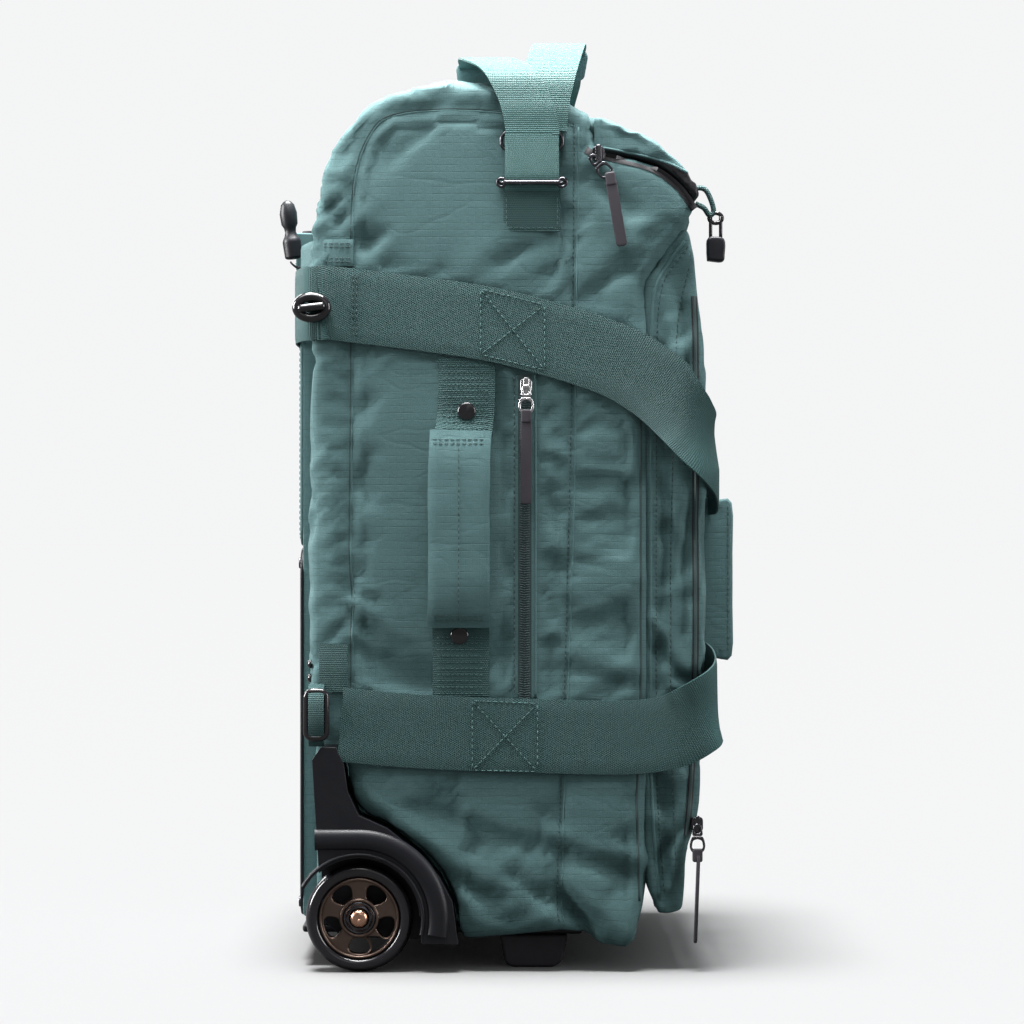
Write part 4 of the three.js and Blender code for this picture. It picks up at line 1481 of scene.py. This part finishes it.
def make_zips(surface, pocket_surface):
    make_side_zip(surface)
    make_zip_pull("side", 10, -176.2, 404, "steel", "side_pull", "side_slider", length=72)
    make_zip_pull(
        "main", 61, -176.2, 568, "gunmetal", "main_pull", "main_slider", lean=0.17, length=58, ring_turn=0.75,
    )
    make_zip_pull(
        "front", 131, -170.4, 94, "gunmetal", "front_pull", "front_slider", length=72, curl=4.0,
        edge_on=True,
    )
    line = smooth_line([(129, 478), (130, 440), (130, 330), (129.5, 200), (126.5, 130), (123.5, 96)], 8)
    side_tape("front_zip_tape", pocket_surface, line, 4.4, 0.6, 1, "coated_tape", 0.4, columns=2)
    side_tape("front_zip_coil", pocket_surface, line, 2.4, 0.8, 1, "zip_coil", 1.0, columns=2)
    side_tape("front_zip_tape_left", pocket_surface, line, 4.4, 0.6, -1, "coated_tape", 0.4, columns=2)
    mouth = smooth_line([(52, 581), (60, 577.5), (97, 568.5), (117, 555), (129, 539)], 5)
    for side, sign in SIDES:
        side_tape(f"mouth_tape_{side}", surface, mouth, 5, 0.7, sign, "coated_tape", 0.2, columns=2)


# ---- straps and webbing ----
UPPER_STATIONS = [
    [-156, 0, 472, 180], [-156, -110, 472, 180], [-152, -148, 472, 192], [-145, -172.5, 472, 222],
    [-137, -176.2, 472, 252], [-120, -175.8, 471.5, 270], [-30, -175.8, 460, 270], [20, -175.8, 449, 270],
    [70, -175.8, 433, 270], [100, -176.0, 416, 272], [120, -175.4, 398, 280], [132, -171.5, 383, 300],
    [140, -163, 371, 326], [144.5, -148, 362, 345], [146.5, -124, 355, 355], [148, -80, 350, 360],
    [148, 0, 349, 360],
]
LOWER_STATIONS = [
    [-121, -175.8, 175, 270], [-60, -175.8, 170, 270], [20, -175.8, 167, 270], [80, -175.8, 166, 270],
    [112, -176.0, 170, 272], [129, -175.6, 178, 282], [138, -171.5, 184, 304], [143.3, -163, 189, 330],
    [145.6, -149, 193, 347], [146.4, -126, 196, 356], [147, -80, 199, 360], [147, 0, 200, 360],
]


def make_compression_straps():
    upper_loop = UPPER_STATIONS + mirrored_half(UPPER_STATIONS)[:-1]
    upper = ribbon(
        "upper_strap_webbing", upper_loop, STRAP_WIDTH, 2.2, "webbing", loop=True, steps=8, columns=10,
    )
    lean_strap(upper)
    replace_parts(upper, "upper_strap")
    lower = ribbon(
        "lower_strap_webbing", LOWER_STATIONS + mirrored_half(LOWER_STATIONS), STRAP_WIDTH, 2.2, "webbing",
        steps=8, columns=10,
    )
    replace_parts(lower, "lower_strap")
    upper_surface, lower_surface = Surface(upper), Surface(lower)
    for side, sign in SIDES:
        box = [(-22, 482, 436), (23, 471, 425)]
        box_stitches(f"upper_strap_box_{side}", upper_surface, box, sign)
        box = [(-28, 192, 143), (18, 190, 142)]
        box_stitches(f"lower_strap_box_{side}", lower_surface, box, sign)
        fold = [[(-112, 447), (-112, 496)], [(-109.5, 447), (-109.5, 496)]]
        side_stitches(f"upper_strap_fold_{side}", upper_surface, fold, sign, 0.1, "dark_thread_and_seam_shade", **STITCH)


def lean_strap(piece, centre=366, reach=36, lean=6.5):
    """The strap's upper edge lies closer to the pocket than its lower edge at the front corners."""
    points = coordinates_of(piece)
    plan = plan_of(points)
    front = np.clip((plan[:, 0] - 122) / 20, 0, 1)
    points[:, 0] -= front * np.clip((plan[:, 1] - centre) / reach, -0.3, 1) * lean * MM
    set_coordinates(piece, points)


def box_stitches(name, surface, box, sign):
    """A stitched box with a cross in it; box gives (x, top z, low z) at its rear and its front."""
    (x0, top0, low0), (x1, top1, low1) = box
    lines = [
        [(x0, top0), (x1, top1)], [(x1, top1), (x1, low1)],
        [(x1, low1), (x0, low0)], [(x0, low0), (x0, top0)],
        [(x0, top0), (x1, low1)], [(x0, low0), (x1, top1)],
    ]
    side_stitches(name, surface, lines, sign, 0.1, "thread", **COARSE_STITCH)


def make_side_handle(side, sign):
    stations = [
        [-36, -173.6, 195, 270], [-36, -174, 214, 270], [-36, -174.6, 238, 270], [-36, -181.4, 254, 270],
        [-37, -183.4, 275, 270], [-37, -183.4, 350, 270], [-36, -181.4, 372, 270], [-33, -174.4, 390, 270],
        [-32, -173.9, 412, 270], [-32, -173.4, 434, 270],
    ]
    sleeve = [
        [-37.5, -178.2, 244, 270], [-37.5, -182.2, 256, 270], [-37.3, -184.2, 275, 270],
        [-37.3, -184.4, 312, 270], [-37.3, -184.2, 350, 270], [-36.8, -182.6, 368, 270],
        [-36.2, -179.0, 382, 270],
    ]
    stations = facing_left(stations, sign)
    sleeve = facing_left(sleeve, sign)
    base = ribbon(f"side_handle_webbing_{side}", stations, 40, 2.2, "webbing", steps=7, columns=8)
    cover = ribbon(f"side_handle_sleeve_{side}", sleeve, 43.5, 4.6, "gusset_fabric", steps=10, columns=12)
    soften(cover, 0.5, 23)
    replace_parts(base, f"side_handle_{side}")
    base_surface, cover_surface = Surface(base), Surface(cover)
    rows = []
    for z_low, z_high, x_low, x_high in ((384, 432, -50, -14), (197, 240, -54, -18)):
        rows += [[(x_low, z), (x_high, z)] for z in np.arange(z_low, z_high, 4.4)]
    side_stitches(
        f"handle_anchor_stitches_{side}", base_surface, rows, sign, 0.05, "thread",
        length=1.8, gap=1.5, thick=0.5,
    )
    lines = [
        [(-37.5, 248), (-37.3, 378)], [(-57, 249), (-18, 249)], [(-57, 252), (-18, 252)],
        [(-57, 376), (-17, 376)], [(-57, 373), (-17, 373)],
    ]
    side_stitches(f"handle_sleeve_stitches_{side}", cover_surface, lines, sign, 0.05, "dark_thread_and_seam_shade", **STITCH)
    for level, (x, z) in enumerate(((-32, 396), (-37, 238))):
        y = base_surface.side(x, z, sign).y / MM
        make_rivet(f"handle_rivet_{side}_{level}", x, y, z, sign)


def soften(piece, amount, scale):
    """Slight unevenness, so that a fabric piece isn't a machined block."""
    points = coordinates_of(piece)
    for i, point in enumerate(points):
        where = Vector(point) * (1000 / scale)
        points[i] += np.array(noise.noise_vector(where)) * amount * MM
    set_coordinates(piece, points)


def make_rivet(name, x, y, z, sign, radius=6.0):
    """A snap: a flat cap with a rolled rim."""
    profile = [
        (0.01, 0.2), (radius, 0.2), (radius + 0.3, 0.9),
        (radius - 0.3, 1.7), (radius - 1.1, 1.8), (0.01, 2.1),
    ]
    profile = [(r, y - sign * depth) for r, depth in profile]
    cap = turned(name, profile, x, z, "gloss_plastic", "bag", 48)
    cap.data.set_sharp_from_angle(angle=math.radians(50))


def haul_stations(top_x, top_z, anchor_x, layer_y, low_z):
    lean = top_x - anchor_x
    half = [
        [anchor_x, layer_y, low_z, 0], [anchor_x, layer_y, 596, 0], [anchor_x + lean * 0.12, layer_y, 614, 0],
        [anchor_x + lean * 0.45, layer_y + 5, 636, 0], [anchor_x + lean * 0.85, layer_y + 28, top_z - 7, 0],
        [top_x, layer_y + 66, top_z - 1, 0], [top_x, -68, top_z, 0], [top_x, 0, top_z, 0],
    ]
    return half + [[x, -y, z, 0] for x, y, z, _ in reversed(half[:-1])]


def make_haul_straps():
    rear = ribbon(
        "haul_rear_webbing", haul_stations(-20, 654, 14, -178.6, 588), HAUL_WIDTH, 2.2, "haul_webbing",
        "haul_rear", ups=True, steps=8, columns=8,
    )
    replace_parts(rear, "haul_strap_rear")
    front = ribbon(
        "haul_front_webbing", haul_stations(35, 664, 20, -174.0, 594), HAUL_WIDTH, 2.2, "haul_webbing",
        "haul_front", ups=True, steps=8, columns=8,
    )
    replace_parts(front, "haul_strap_front")
    for key, x, z in (("rear", -20, 654), ("front", 35, 664)):
        make_haul_wrap(key, x, z)
    for side, sign in SIDES:
        make_haul_anchor(side, sign)


def make_haul_wrap(key, x, z):
    """The padded grip sewn round the middle of a haul strap, pinched in at its ends."""
    steps, half = 26, 62
    vertices, faces = [], []
    ring = [(math.cos(a), math.sin(a)) for a in np.linspace(0, 2 * math.pi, 33)[:-1]]
    for i in range(steps + 1):
        y = half * (2 * i / steps - 1)
        ends = abs(y) / half
        width = 21.5 - 1.2 * max(0, ends - 0.8) * 5
        height = 5.2 - 1.5 * max(0, ends - 0.85) * 6
        for c, s in ring:
            u = math.copysign(abs(c) ** 0.45, c) * width
            w = math.copysign(abs(s) ** 0.8, s) * height
            pinch = -1.6 * math.exp(-((u / 3.2) ** 2)) if w > 0 and ends > 0.55 else 0
            vertices.append(at(x + u, y, z + w + pinch))
    count = len(ring)
    for i in range(steps):
        for k in range(count):
            other = (k + 1) % count
            faces.append((i * count + k, i * count + other, (i + 1) * count + other, (i + 1) * count + k))
    faces.append(tuple(reversed(range(count))))
    faces.append(tuple(steps * count + k for k in range(count)))
    wrap = new_object(f"haul_grip_{key}", vertices, faces, "gusset_fabric", f"haul_{key}")
    recalculate_normals(wrap)
    soften(wrap, 0.5, 19)
    box_uv(wrap)
    wrap.data.set_sharp_from_angle(angle=math.radians(60))
    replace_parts(wrap, f"haul_wrap_{key}")


def make_haul_anchor(side, sign):
    """Below each haul handle: the rear strap's end in a tri-bar, a sewn tab and the ring."""
    stations = [
        [14, -174.6, 552, 270], [14, -176.4, 555, 270], [14, -178.4, 560, 270], [14, -178.8, 570, 270],
        [14, -178.6, 592, 270],
    ]
    tab = [[14, -173.4, 523, 270], [14, -173.8, 536, 270], [14, -174.2, 549, 270], [14, -174.4, 562, 270]]
    back = [[14, -174.2, 560, 270], [14, -174.6, 575, 270], [14, -174.4, 598, 270]]
    stations, tab, back = (facing_left(line, sign) for line in (stations, tab, back))
    ribbon(f"haul_end_{side}", stations, HAUL_WIDTH, 2.2, "haul_webbing")
    ribbon(f"haul_back_layer_{side}", back, HAUL_WIDTH, 1.8, "webbing")
    sewn = ribbon(f"haul_tab_{side}", tab, 40, 2.0, "webbing")
    tab_surface = Surface(sewn)
    lines = [[(-4, 525.5), (32, 525.5)], [(-4, 525.5), (-4, 546)], [(32, 525.5), (32, 546)]]
    side_stitches(f"haul_tab_stitches_{side}", tab_surface, lines, sign, 0.05, "thread", **STITCH)
    y_ring = -176.4 * sign
    ring = [(u, y_ring, v) for u, v in rounded_outline(43, 13, 5.5, 6, 14, 586.5)]
    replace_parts(rod_loop(f"haul_loop_{side}", ring, 1.3, "gunmetal"), f"haul_ring_{side}")
    bar = [(x, -180.3 * sign, 557) for x in np.linspace(-7, 35, 12)]
    vertices, faces = tube([at(*p) for p in bar], 1.7 * MM, 14)
    pieces = [new_object("bar", vertices, faces, "gunmetal")]
    for x in (-7.5, 35.5):
        eyelet = [(u, -179.4 * sign, v) for u, v in ellipse_outline(5.8, 5.8, x, 557, 20)]
        pieces.append(rod_loop("eyelet", eyelet, 1.1, "gunmetal"))
        link = [(x + 1.5 * c, (-177 - 2.4 * s) * sign, 557) for c, s in ellipse_outline(2, 2, steps=12)]
        pieces.append(rod_loop("frame", link, 1.0, "gunmetal"))
    join_pieces(f"haul_tri_bar_{side}", pieces, f"haul_slider_{side}")


def make_grab_handle():
    outline = [
        (-8, -60), (5, -60), (17, -58), (17.6, -20), (17.6, 20),
        (17, 58), (5, 60), (-8, 60), (-8, 20), (-8, -20),
    ]
    handle = plate("front_grab_panel", [rounded(outline, 3)], (149.8, 0, 274), 8.6, 2.2, "gusset_fabric")
    tabs = [
        plate(f"front_grab_tab_{z}", [rounded_outline(14, 11, 2)], (144.5, 0, z), 8, 1.2, "webbing")
        for z in (236, 328)
    ]
    panel = join_pieces("front_grab_grip", [handle, *tabs], "front_grab_handle")
    panel_surface = Surface(panel)
    lines = [[(163.8, 219), (163.8, 330)], [(152, 222), (163.8, 219)], [(152, 327), (163.8, 330)]]
    for side, sign in SIDES:
        side_stitches(f"front_grab_stitches_{side}", panel_surface, lines, sign, 0.1, "dark_thread_and_seam_shade", **STITCH)


def make_rear_fittings():
    for side, sign in SIDES:
        rim = [(u, -179.4 * sign, v) for u, v in ellipse_outline(21, 15, -141, 469)]
        hook = [rod_loop("rim", rim, 3.4, "gloss_plastic")]
        bridge = [
            (x, -sign * (180.6 + 1.6 * math.cos((x + 141) / 9)), 469 + 0.12 * (x + 141))
            for x in np.linspace(-150, -132, 9)
        ]
        vertices, faces = tube([at(*p) for p in bridge], 3.0 * MM, 14)
        hook.append(new_object("bridge", vertices, faces, "gloss_plastic"))
        join_pieces(f"strap_oval_{side}", hook, f"strap_hook_{side}")
        ring = [(u, -176.4 * sign, v) for u, v in rounded_outline(14, 33, 4.5, 6, -138, 182)]
        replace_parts(rod_loop(f"rear_loop_{side}", ring, 2.3, "gloss_plastic"), f"rear_ring_{side}")
        facing = 270 if sign > 0 else 90
        bow = ((173.5, 160), (177.0, 166), (179.8, 176), (180.0, 190), (177.6, 198), (173.5, 203))
        loop = [[-138, -sign * y, z, facing] for y, z in bow]
        ribbon(f"rear_webbing_loop_{side}", loop, 11, 1.8, "webbing", columns=5)
        band = [[-126, -sign * y, z, facing] for y, z in ((172.6, 198), (173.2, 215), (172.6, 232))]
        ribbon(f"rear_webbing_band_{side}", band, 20, 1.8, "webbing", columns=5)
        for height in (207, 217):
            dome = [(0.01, 0), (3.2, 0), (3.0, 1.4), (1.8, 2.6), (0.01, 3.0)]
            stud = turned(f"rear_stud_{side}_{height}", dome, 0, 0, "gloss_plastic", "bag", 24)
            for vertex in stud.data.vertices:
                local = vertex.co - at(0, 0, 0)
                vertex.co = at(-140, -sign * 158, height) + Vector((-local.y - 2.5 * MM, local.x, local.z))
            recalculate_normals(stud)


def make_cover_band():
    """The band at the top of the trolley's cover, from each side seam round to the back."""
    half = [
        [-112, -173.0, 508, 270], [-124, -173.2, 508, 266], [-134, -169.5, 508, 240], [-141, -158, 508, 212],
        [-146, -140, 508, 196], [-150, -122, 508, 186], [-152, -110, 508, 181],
    ]
    for side, sign in SIDES:
        stations = half if sign > 0 else [[x, -y, z, 360 - f] for x, y, z, f in half]
        band = ribbon(f"cover_band_{side}", stations, 19, 2.4, "gusset_fabric", steps=6)
        band_surface = Surface(band)
        lines = [[(-113, z), (-138, z)] for z in (501.5, 504, 512, 514.5)]
        side_stitches(f"cover_band_stitches_{side}", band_surface, lines, sign, 0.1, "dark_thread_and_seam_shade", **STITCH)


# ---- wheels and their housings ----
def polar_opening(angle, radius, reach, spread):
    """A rounded, wedge-like opening in the wheel hub, in (x, z) about the axle."""
    outline = []
    for i in range(36):
        t = 2 * math.pi * i / 36
        c, s = math.cos(t), math.sin(t)
        r = radius + reach * math.copysign(abs(c) ** 0.7, c)
        turn = angle + spread * math.copysign(abs(s) ** 0.75, s) * (0.9 + 0.012 * (r - radius))
        outline.append((r * math.cos(math.radians(turn)), r * math.sin(math.radians(turn))))
    return outline


def wheel_turned(name, profile, sign, material, body, segments):
    """A turned piece of a wheel; the profile lists (radius, y) on the right side."""
    return turned(name, [(r, y * sign) for r, y in profile], WHEEL_X, WHEEL_Z, material, body, segments)


def make_wheel(side, sign):
    body = f"wheel_{side}"
    tread = [
        (28.7, -153), (28.7, -171.8), (30.2, -173.6), (32.4, -174.6), (33.2, -174.2), (34.0, -174.6),
        (35.8, -173.6), (37.2, -171), (38, -166), (38, -160), (37.2, -155), (35.6, -152.2), (33, -151.2),
        (30.4, -151.6),
    ]
    tyre = wheel_turned(f"tyre_tread_{side}", tread, sign, "tyre", body, 128)
    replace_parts(tyre, f"tyre_{side}")
    circle = ellipse_outline(57, 57, steps=120)
    bore = ellipse_outline(22.6, 22.6, steps=60)
    openings = [polar_opening(270 + 72 * k, 19.4, 6.0, 22) for k in range(5)]
    plane = "side" if sign > 0 else "other_side"
    centre = (WHEEL_X, -165.5 * sign, WHEEL_Z)
    hub = [plate("web", [circle, bore, *openings], centre, 9, 1.3, "bronze", body, plane)]
    rim = [(28.5, -156), (28.5, -172.4), (27.4, -173.2), (26.4, -172.2), (26.2, -169.6), (26.4, -156)]
    hub.append(wheel_turned("rim", rim, sign, "bronze", body, 120))
    boss = [(11.4, -157), (11.4, -170.2), (12.2, -171.2), (13.4, -171.2), (14.2, -169.8), (14.2, -157)]
    hub.append(wheel_turned("boss", boss, sign, "bronze", body, 96))
    join_pieces(f"wheel_hub_spokes_{side}", hub, f"wheel_hub_{side}")
    races = [
        (6.9, -156), (6.9, -170.6), (7.6, -171.0), (8.2, -170.2), (9.6, -170.2), (10.0, -171.0),
        (11.2, -170.8), (11.2, -156),
    ]
    bearing = wheel_turned(f"wheel_bearing_races_{side}", races, sign, "gunmetal", body, 96)
    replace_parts(bearing, f"wheel_bearing_{side}")
    cap = [
        (0.01, -141), (4, -141), (4, -170), (6.3, -170.2), (6.4, -172.4), (5.6, -174.2), (3.6, -175.3),
        (0.01, -175.7),
    ]
    axle = wheel_turned(f"wheel_axle_cap_{side}", cap, sign, "copper", "bag", 64)
    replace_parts(axle, f"wheel_axle_{side}")


def ridge(name, path, width, height, y, sign, material):
    """A raised band with a rounded section along (x, z) on the outside of a housing."""
    steps = 10
    vertices = []
    for i, (x, z) in enumerate(path):
        ahead, behind = path[min(i + 1, len(path) - 1)], path[max(i - 1, 0)]
        dx, dz = ahead[0] - behind[0], ahead[1] - behind[1]
        norm = math.hypot(dx, dz)
        nx, nz = dz / norm, -dx / norm
        for k in range(steps + 1):
            u = 2 * k / steps - 1
            rise = height * (1 - abs(u) ** 3.2)
            vertices.append(at(x + nx * u * width / 2, sign * (y - rise), z + nz * u * width / 2))
        vertices.append(at(x + nx * width / 2, sign * (y + 1.5), z + nz * width / 2))
        vertices.append(at(x - nx * width / 2, sign * (y + 1.5), z - nz * width / 2))
    piece = new_object(name, vertices, strip_faces(len(path), steps + 3), material)
    recalculate_normals(piece)
    piece.data.set_sharp_from_angle(angle=math.radians(50))
    return piece


def wheel_arc(radius, start, end, count=26):
    """Points (x, z) on an arc about the axle, between two angles in degrees."""
    return [
        (WHEEL_X + radius * math.cos(math.radians(a)), WHEEL_Z + radius * math.sin(math.radians(a)))
        for a in np.linspace(start, end, count)
    ]


def make_housing(side, sign):
    refine(f"wheel_housing_{side}", "black_plastic", "bag", 1.6, 4, 32)
    top = WHEEL_Z + FENDER_RADIUS
    band = [(-139, top), (-124, top)] + wheel_arc(FENDER_RADIUS, 90, -12)
    ridge(f"fender_band_{side}", band, 15, 3.4, HOUSING_Y, sign, "black_plastic")
    lip = wheel_arc(FENDER_LIP_RADIUS, 150, -14)
    ridge(f"fender_lip_{side}", lip, 3.2, 2.2, HOUSING_Y, sign, "black_plastic")


# ---- base, back and trolley ----
def make_base():
    refine("base_tray", "black_plastic", "bag", 2.0, 3)
    refine("back_shell", "black_plastic", "bag", 1.2, 3)
    for side, _ in SIDES:
        refine(f"foot_{side}", "rubber", "bag", 2.5, 4)
    ribs = []
    for y in (-84, -28, 28, 84):
        strip = [rounded_outline(9, 236, 4.4)]
        ribs.append(plate("rib", strip, (-154.0, y, 164), 2.0, 0.9, "black_plastic", plane="back"))
    join_pieces("back_shell_ribs", ribs)
    for number, (y, z) in enumerate(((-104, 42), (104, 42), (-104, 288), (104, 288), (0, 42), (0, 288))):
        head = plate(
            f"back_screw_{number}", [ellipse_outline(8, 8)], (-154.1, y, z), 1.6, 0.6, "gunmetal",
            plane="back",
        )
        head.data.set_sharp_from_angle(angle=math.radians(30))


def make_back_cover():
    outline = rounded_outline(223, 199, 14)
    cover = plate("back_cover_panel", [outline], (-152.1, 0, 400), 3.0, 1.2, "gusset_fabric", plane="back")
    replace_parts(cover, "back_cover")
    border = rounded_outline(213, 189, 10)
    path = [at(-153.8, u, 400 + v) for u, v in border + border[:1]]
    parts = stitch_parts(path, out=Vector((-1, 0, 0)), **STITCH)
    join_meshes("back_cover_stitches", parts, "dark_thread_and_seam_shade")


def make_trolley_gussets():
    """Fabric walls that close the trolley's recess between the bag and its cover."""
    for side, sign in SIDES:
        wall = plate(
            f"trolley_gusset_{side}", [rounded_outline(13, 468, 3)], (-145, -110.6 * sign, 265.5), 2.0, 0.8,
            "gusset_fabric",
        )
        soften(wall, 0.4, 25)


def make_trolley():
    for side, _ in SIDES:
        refine(f"trolley_outer_tube_{side}", "aluminium", "bag", 0.5, 2)
        refine(f"trolley_middle_tube_{side}", "aluminium", "trolley_middle", 0.5, 2)
        refine(f"trolley_inner_tube_{side}", "aluminium", "trolley_handle", 0.5, 2)
    refine("trolley_bracket", "black_plastic", "bag", 1.5, 3)
    refine("trolley_bezel", "black_plastic", "bag", 1.0, 3)
    refine("trolley_grip", "rubber", "trolley_handle", 4.0, 5)
    refine("grip_button", "gloss_plastic", "button", 1.0, 3)
    sleeve = refine("grip_sleeve", "gusset_fabric", "bag", 1.2, 3)
    soften(sleeve, 0.4, 23)
    for row, z in enumerate((504.5, 507, 523, 525.5)):
        path = [at(-158.2, y, z) for y in np.linspace(-88, 88, 40)]
        parts = stitch_parts(path, out=Vector((-1, 0, 0)), **STITCH)
        join_meshes(f"grip_sleeve_stitches_{row}", parts, "dark_thread_and_seam_shade")


def make_front_hook():
    """A webbing loop at the flap's corner with a clip of two rods and a block hanging from it."""
    loop = [
        (127, -148, 551), (132, -148, 556), (138, -147, 555), (142, -146, 548), (144, -145, 540),
        (141, -145.5, 537), (137, -147, 542), (131, -148, 545),
    ]
    path = [at(*point) for point in loop]
    vertices, faces = tube([Vector(p) for p in catmull(path, 5)], 1.9 * MM, 10)
    strap = new_object("front_hook_loop", vertices, faces, "webbing")
    box_uv(strap)
    rods = []
    for offset in (-3.6, 3.6):
        ends = [at(145.5 + offset, -145, z) for z in (537, 531, 525, 518)]
        vertices, faces = tube(ends, 1.3 * MM, 10)
        rods.append(new_object("rod", vertices, faces, "gloss_plastic", "hook"))
    top = [(u, -145, v) for u, v in ellipse_outline(9.2, 7.2, 145.5, 535, 24)]
    rods.append(rod_loop("eye", top, 1.5, "gloss_plastic", "hook"))
    outline = [(-6, -8), (4.5, -8.8), (6.2, -4), (5.6, 7.5), (-5.2, 8.4), (-6.4, 0)]
    rods.append(plate("block", [rounded(outline)], (145.5, -145, 512.5), 13, 1.8, "black_plastic", "hook"))
    join_pieces("front_hook_clip", rods, "front_hook")


def make_hinge_welt():
    """The folded seam across the bag, between its top and the flap."""
    path = [at(56.5, y, 599.5 + 1.5 * math.cos(y / 60)) for y in np.linspace(-166, 166, 60)]
    vertices, faces = tube(path, 6.0 * MM, 14)
    welt = new_object("flap_hinge_welt", vertices, faces, "gusset_fabric")
    soften(welt, 0.7, 17)
    box_uv(welt)


def make_flap_trim(flap_surface):
    """The flap's own edge: a hem above the coated zip tape."""
    hem = smooth_line(FLAP_EDGE, 5)
    for side, sign in SIDES:
        seam_cord(f"flap_hem_{side}", flap_surface, hem, sign, 1.1, "gusset_fabric", 0.3, "flap")
    path = [at(0, y, 0) for y in np.linspace(-160, 160, 60)]
    hits = []
    for point in path:
        start = Vector((0.4, point.y, at(0, 0, FLAP_EDGE[-1][1]).z))
        found = flap_surface.tree.ray_cast(start, Vector((-1, 0, 0)))[0]
        if found is not None:
            hits.append(found)
    vertices, faces = tube(hits, 1.1 * MM, 7)
    box_uv(new_object("flap_hem_front", vertices, faces, "gusset_fabric", "flap"))


# ---- the bag ----
MATERIALS = make_materials()
make_camera()
make_studio()
make_toggle_cord()
body_shell = make_body_shell()
pocket_shell = make_pocket()
flap_shell = make_flap()
body_surface = Surface(body_shell)
pocket_surface = Surface(pocket_shell)
make_body_seams(body_surface, pocket_surface)
make_zips(body_surface, pocket_surface)
make_hinge_welt()
make_flap_trim(Surface(flap_shell))
make_compression_straps()
make_haul_straps()
make_grab_handle()
make_rear_fittings()
make_cover_band()
make_base()
make_back_cover()
make_trolley_gussets()
make_trolley()
make_front_hook()
for side_name, side_sign in SIDES:
    make_side_handle(side_name, side_sign)
    make_wheel(side_name, side_sign)
    make_housing(side_name, side_sign)
